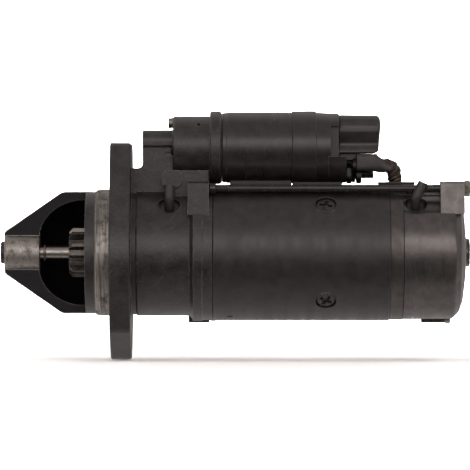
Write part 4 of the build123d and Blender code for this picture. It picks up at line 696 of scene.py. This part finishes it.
class STARTER_OT_hood(bpy.types.Operator):
    """Mould the waisted hood over the battery terminal, with its rounded back and open far side"""
    bl_idname = "starter.hood"
    bl_label = "Build terminal hood"

    def execute(self, context):
        # half of the waisted outline, from the top down, with z turned over
        side = [
            (-97.2, 0.0), (-96.9, 4.0), (-96.0, 7.8), (-93.4, 11.2), (-89.0, 13.0), (-84.8, 13.2), (-81.0, 12.0),
            (-77.6, 10.4), (-74.8, 10.5), (-72.2, 12.2), (-70.4, 13.3), (-69.9, 12.6), (-69.9, 6.0), (-69.9, 0.0),
        ]
        outer = [(y, -z) for z, y in side] + [(-y, -z) for z, y in side[-2:0:-1]]
        centre = (0.0, 83.0)

        def reach(polygon):
            """How far the polygon is from the hood's middle at an angle."""
            def at(angle):
                c, s = math.cos(angle), math.sin(angle)
                best = 0.0
                for (ya, za), (yb, zb) in zip(polygon, polygon[1:] + polygon[:1]):
                    ya, za, yb, zb = ya - centre[0], za - centre[1], yb - centre[0], zb - centre[1]
                    cross = c * (zb - za) - s * (yb - ya)
                    if abs(cross) < 1e-9:
                        continue
                    along = (ya * (zb - za) - za * (yb - ya)) / cross
                    share = (ya * s - za * c) / cross
                    if along > 0 and -1e-6 <= share <= 1 + 1e-6:
                        best = max(best, along)
                return best
            return at

        outside = reach(outer)
        inside = reach([(8.8, 76), (8.8, 90), (5, 94), (-5, 94), (-8.8, 90), (-8.8, 76), (-5, 72), (5, 72)])
        count = 120
        stations = [(160.95, 0.5), (161.1, 0.15), (161.5, 0.0), (167.0, 0.0), (175.0, 0.1), (184.0, 0.2)]
        bend = (0.0, 0.35, 0.7, 1.05, 1.35, 1.5)
        stations += [(186.9 + 3.2 * math.sin(a), 0.3 + 3.2 * (1 - math.cos(a))) for a in bend]
        back = 190.1

        def slant(x, z):
            """The rounded back leans forwards below the middle."""
            return x - max(0.0, 88.5 - z) * 0.085 * max(0.0, (x - 184.0) / (back - 184.0))

        def smooth(angle, inset):
            """The outline with its corners eased by averaging nearby angles."""
            mean = sum(outside(angle + d) for d in (-0.06, -0.03, 0.0, 0.03, 0.06)) / 5
            return mean - inset

        body = bmesh.new()
        shell = []
        for x, inset in stations:
            loop = ring(x, lambda a, inset=inset: smooth(a, inset), centre, count)
            shell.append([(slant(px, pz), py, pz) for px, py, pz in loop])
        lining = [ring(x, inside, centre, count) for x in (160.95, 167.0, 175.0, 184.0, 187.6)]
        rows = skin(body, shell, capped=False)
        body.faces.new(rows[-1])
        inner = skin(body, lining, capped=False)
        body.faces.new(inner[-1])
        for i in range(count):
            j = (i + 1) % count
            body.faces.new((rows[0][i], rows[0][j], inner[0][j], inner[0][i]))
        # far-side mouth for the battery cable
        first, last = -11, 9
        marks = [i % count for i in range(first, last + 1)]
        outer_rows, inner_rows = rows[3:6], inner[1:4]
        doomed = []
        for grid in (outer_rows, inner_rows):
            for one, two in zip(grid, grid[1:]):
                for i, j in zip(marks, marks[1:]):
                    verts = {one[i], one[j], two[j], two[i]}
                    doomed += [face for face in one[i].link_faces if set(face.verts) == verts]
        bmesh.ops.delete(body, geom=doomed, context="FACES")
        for row in (0, 2):
            for i, j in zip(marks, marks[1:]):
                out, lined = outer_rows[row], inner_rows[row]
                body.faces.new((out[i], out[j], lined[j], lined[i]))
        for i in (marks[0], marks[-1]):
            for row in (0, 1):
                ahead, behind = row, row + 1
                body.faces.new((
                    outer_rows[ahead][i], outer_rows[behind][i], inner_rows[behind][i], inner_rows[ahead][i]))
        as_piece("moulded_hood", body, "moulding", "terminal_hood")
        return {"FINISHED"}


class STARTER_OT_terminals(bpy.types.Operator):
    """Cut the threads of both terminal studs and seat their chamfered nuts"""
    bl_idname = "starter.terminals"
    bl_label = "Build terminals"

    def execute(self, context):
        pitch = context.scene.starter_thread.stud_pitch / MM
        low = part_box("terminal_studs")[0][0] / MM
        body = bmesh.new()
        for height, end in ((BATTERY_Z, 183.0), (MOTOR_Z, 185.4)):
            foot = ((low, 5.6), (low + 0.5, 6.2), (low + 5.4, 6.2), (low + 5.8, 5.8))
            skin(body, [ring(x, r, (0.0, height), 4, math.pi / 4) for x, r in foot])
            turned(body, (0.0, height), [(low + 5.6, 3.95), (157.0, 3.95), (157.4, 3.5)])
            threaded(body, (0.0, height), 157.0, end, 3.98, pitch)
        for start, height in ((159.0, BATTERY_Z), (171.0, BATTERY_Z), (165.9, MOTOR_Z), (172.8, MOTOR_Z)):
            turn = 0.0 if height == MOTOR_Z else math.pi / 6
            nut(body, (0.0, height), start, 4.2, 13.0, 3.9, turn)
        as_piece("threaded_terminals", body, "black_fastener", "terminal_studs")
        return {"FINISHED"}


class STARTER_OT_through_bolts(bpy.types.Operator):
    """Roll the threads of the long clamp bolts and chamfer their heads"""
    bl_idname = "starter.through_bolts"
    bl_label = "Build through bolts"

    def execute(self, context):
        pitch = context.scene.starter_thread.bolt_pitch / MM
        body = bmesh.new()
        for centre, head in THROUGH_BOLTS:
            threaded(body, centre, 58.0, 84.0, 2.78, pitch)
            turned(body, centre, [(83.0, 2.3), (83.6, 2.62), (head - 1.2, 2.62), (head, 2.78)])
            turned(body, centre, [(69.7, 3.0), (69.8, 3.6), (70.1, 3.9), (73.8, 3.9), (74.2, 3.5), (74.3, 2.9)])
            turned(body, centre, [(head, 4.4), (head + 0.1, 5.1), (head + 0.5, 5.1), (head + 0.6, 4.8)])
            nut(body, centre, head + 0.5, 3.7, 10.0, 0.0, math.radians(10), both=False)
        bolts = as_piece("clamp_bolts", body, "black_fastener", "through_bolts")
        bolts.data.materials.append(finish("zinc_steel", context.scene.starter_finish))
        # the heads are plated where the shanks are painted; 0.1 mm clears each head's seat
        upper_head, lower_head = ((head + 0.1) * MM for _, head in THROUGH_BOLTS)
        for face in bolts.data.polygons:
            if face.center.x > (upper_head if face.center.z > 0 else lower_head):
                face.material_index = 1
        return {"FINISHED"}


class STARTER_OT_pole_screws(bpy.types.Operator):
    """Press the cross recess into each pole screw and turn up the staked rim round its head"""
    bl_idname = "starter.pole_screws"
    bl_label = "Build pole screws"

    def execute(self, context):
        body = bmesh.new()
        count = 72
        steps = [k * 0.28 for k in range(25)]
        for spoke in (45, 135, 225, 315):
            out = Vector((0, math.cos(math.radians(spoke)), math.sin(math.radians(spoke))))
            along = Vector((1, 0, 0))
            side = out.cross(along)

            def at(radius, angle, height):
                flat = along * math.cos(angle) + side * math.sin(angle)
                return Vector((POLE_SCREW_X, 0, 0)) + flat * radius + out * height

            # shank, then the domed head with its cross recess, from the rim to the middle
            angles = [2 * math.pi * k / count for k in range(count)]
            loops = [[at(r, a, h) for a in angles] for r, h in ((3.9, 35.6), (3.9, 44.9), (6.75, 45.4))]
            for radius in reversed(steps[1:]):
                loop = []
                for angle in angles:
                    turned_by = angle + math.radians(12 if spoke != 225 else 30)
                    u, v = abs(radius * math.cos(turned_by)), abs(radius * math.sin(turned_by))
                    within_width = max(0.0, min(1.0, (1.35 - min(u, v)) / 0.35))
                    within_length = max(0.0, min(1.0, (4.7 - max(u, v)) / 0.5))
                    dish = 47.1 - 0.012 * radius * radius - max(0.0, radius - 6.2) * 0.5
                    loop.append(at(radius, angle, dish - 2.3 * within_width * within_length))
                loops.append(loop)
            skin(body, loops)
            # rim of the yoke turned up round the head, following the yoke's curve
            lip = [(7.2, 47.0), (7.25, 48.0), (7.5, 48.35), (7.9, 48.3), (8.3, 47.85), (8.3, 47.0), (7.6, 46.2)]
            rim = [[at(r, a, h - (r * math.sin(a)) ** 2 / 96) for a in angles] for r, h in lip]
            skin(body, rim, closed=True)
        as_piece("staked_pole_screws", body, "black_fastener", "pole_screws")
        return {"FINISHED"}


class STARTER_OT_strip(bpy.types.Operator):
    """Lay the rubber strip that keeps the solenoid from drumming on the yoke"""
    bl_idname = "starter.strip"
    bl_label = "Build rubber strip"

    def execute(self, context):
        body = bmesh.new()
        # one length under the solenoid's case and one under its cap, each with the radius that it lies against
        for start, end, radius in ((84.0, 127.4, 25.06), (128.2, 163.0, 25.97)):
            loops = []
            eased = [(0.0, 0.6), (0.3, 0.2), (1.0, 0.0)]
            stations = [(start + run, inset) for run, inset in eased]
            stations += [(end - run, inset) for run, inset in reversed(eased)]
            for x, inset in stations:
                half = 9.0 - inset
                ys = [half * (k / 8 - 1) for k in range(17)]
                top = [(x, y, SOLENOID_Z - math.sqrt(radius ** 2 - y * y)) for y in ys]
                loops.append([(x, y, math.sqrt(YOKE_R ** 2 - y * y)) for y in reversed(ys)] + top)
            skin(body, loops)
        as_piece("rubber_strip", body, "rubber")
        return {"FINISHED"}


class STARTER_OT_stage(bpy.types.Operator):
    """Lay the paper sweep, hang the soft lights and set the camera"""
    bl_idname = "starter.stage"
    bl_label = "Build stage"

    def execute(self, context):
        settings = context.scene.starter_stage
        floor_z = CAD_BOX[0][2] - 0.0004
        body = bmesh.new()
        profile = [(-4.0, 0.0), (0.9, 0.0)]
        bend = [k * math.pi / 24 for k in range(1, 13)]
        profile += [(0.9 + 0.8 * math.sin(a), 0.8 - 0.8 * math.cos(a)) for a in bend]
        profile.append((1.7, 4.5))
        columns = [[body.verts.new((x, y, floor_z + z)) for y, z in profile] for x in (-5.0, 5.0)]
        for i in range(len(profile) - 1):
            body.faces.new((columns[0][i], columns[1][i], columns[1][i + 1], columns[0][i + 1])).smooth = True
        mesh = bpy.data.meshes.new("paper_sweep")
        body.to_mesh(mesh)
        body.free()
        sweep = bpy.data.objects.new("paper_sweep", mesh)
        context.scene.collection.objects.link(sweep)
        sweep.data.materials.append(studio_paper("Background paper"))
        sweep.visible_glossy = False

        middle = (0.09, 0.0, 0.0)
        for name, place, target, size, power, spread in (
            ("key_softbox", (0.1, -2.2, 0.85), middle, (1.8, 0.5), settings.key_power, 180),
            ("floor_light", (0.1, -0.6, 2.4), (0.1, -0.6, 0.0), (3.0, 2.4), settings.floor_power, 180),
            ("paper_light", (0.1, 0.75, 1.9), (0.1, 1.7, 0.2), (2.5, 0.6), settings.paper_power, 80),
        ):
            lamp = bpy.data.lights.new(name, "AREA")
            lamp.shape, lamp.size, lamp.size_y, lamp.energy = "RECTANGLE", size[0], size[1], power
            lamp.spread = math.radians(spread)
            holder = bpy.data.objects.new(name, lamp)
            holder.location = place
            holder.rotation_euler = (Vector(target) - Vector(place)).to_track_quat("-Z", "Y").to_euler()
            holder.visible_glossy = name == "key_softbox"
            context.scene.collection.objects.link(holder)

        # surrounding light: how bright each direction is, by its angle in degrees about the shaft, where 0 is
        # level towards the camera and 90 is straight up
        world = bpy.data.worlds.new("studio")
        world.use_nodes = True
        tree = world.node_tree
        ways = add(tree, "SeparateXYZ", {0: add(tree, "TexCoord").outputs["Generated"]})
        forward = add(tree, "Math", {0: ways.outputs[1], 1: -1.0}, operation="MULTIPLY")
        turn = add(tree, "Math", {0: ways.outputs[2], 1: forward}, operation="ARCTAN2")
        share = add(tree, "MapRange", {"Value": turn, "From Min": -math.pi, "From Max": math.pi})
        bands = add(tree, "ValToRGB", {0: share})
        stops = [
            (-180, 0.5), (-110, 0.8), (-60, 0.55), (-46, 0.12), (-16, 0.08), (-4, 0.5), (10, 2.1), (20, 2.0),
            (36, 0.6), (90, 0.42), (115, 0.8), (150, 0.5), (180, 0.5),
        ]
        levels = bands.color_ramp.elements
        levels[0].position, levels[-1].position = 0.0, 1.0
        for degrees, level in stops[1:-1]:
            levels.new((degrees + 180) / 360)
        for element, (_, level) in zip(levels, stops):
            element.color = (level, 0.91 * level, 0.9 * level, 1.0)
        background = tree.nodes["Background"]
        tree.links.new(bands.outputs["Color"], background.inputs["Color"])
        background.inputs["Strength"].default_value = settings.surround
        context.scene.world = world
        context.scene.view_settings.view_transform = "Standard"

        lens = bpy.data.cameras.new("camera")
        lens.sensor_width = 36.0
        lens.lens = 36.0 * settings.camera_distance / settings.frame_width
        lens.clip_end = 50.0
        camera = bpy.data.objects.new("camera", lens)
        camera.location = (settings.aim[0], settings.aim[1] - settings.camera_distance, settings.aim[2])
        camera.rotation_euler = (math.radians(90), 0, 0)
        context.scene.collection.objects.link(camera)
        context.scene.camera = camera
        return {"FINISHED"}


class STARTER_PT_panel(bpy.types.Panel):
    """Sidebar list of the operators and their settings"""
    bl_label = "Starter motor"
    bl_idname = "STARTER_PT_panel"
    bl_space_type = "VIEW_3D"
    bl_region_type = "UI"
    bl_category = "Starter motor"

    def draw(self, context):
        layout = self.layout
        for operator, settings in STEPS:
            box = layout.box()
            box.operator(operator.bl_idname)
            if settings:
                group = getattr(context.scene, settings)
                for name in group.bl_rna.properties.keys():
                    if name not in ("rna_type", "name"):
                        box.prop(group, name)


STEPS = (
    (STARTER_OT_finishes, "starter_finish"),
    (STARTER_OT_lead, "starter_lead"),
    (STARTER_OT_boot, None),
    (STARTER_OT_hood, None),
    (STARTER_OT_terminals, "starter_thread"),
    (STARTER_OT_through_bolts, None),
    (STARTER_OT_pole_screws, None),
    (STARTER_OT_strip, None),
    (STARTER_OT_stage, "starter_stage"),
)
GROUPS = {
    "starter_finish": FinishSettings,
    "starter_lead": LeadSettings,
    "starter_thread": ThreadSettings,
    "starter_stage": StageSettings,
}
CLASSES = (*GROUPS.values(), *(operator for operator, _ in STEPS), STARTER_PT_panel)


def register():
    for item in CLASSES:
        bpy.utils.register_class(item)
    for name, group in GROUPS.items():
        setattr(bpy.types.Scene, name, bpy.props.PointerProperty(type=group))


def unregister():
    for name in GROUPS:
        delattr(bpy.types.Scene, name)
    for item in reversed(CLASSES):
        bpy.utils.unregister_class(item)


def main():
    register()
    for operator, _ in STEPS:
        area, action = operator.bl_idname.split(".")
        getattr(getattr(bpy.ops, area), action)()


if __name__ == "__main__":
    main()
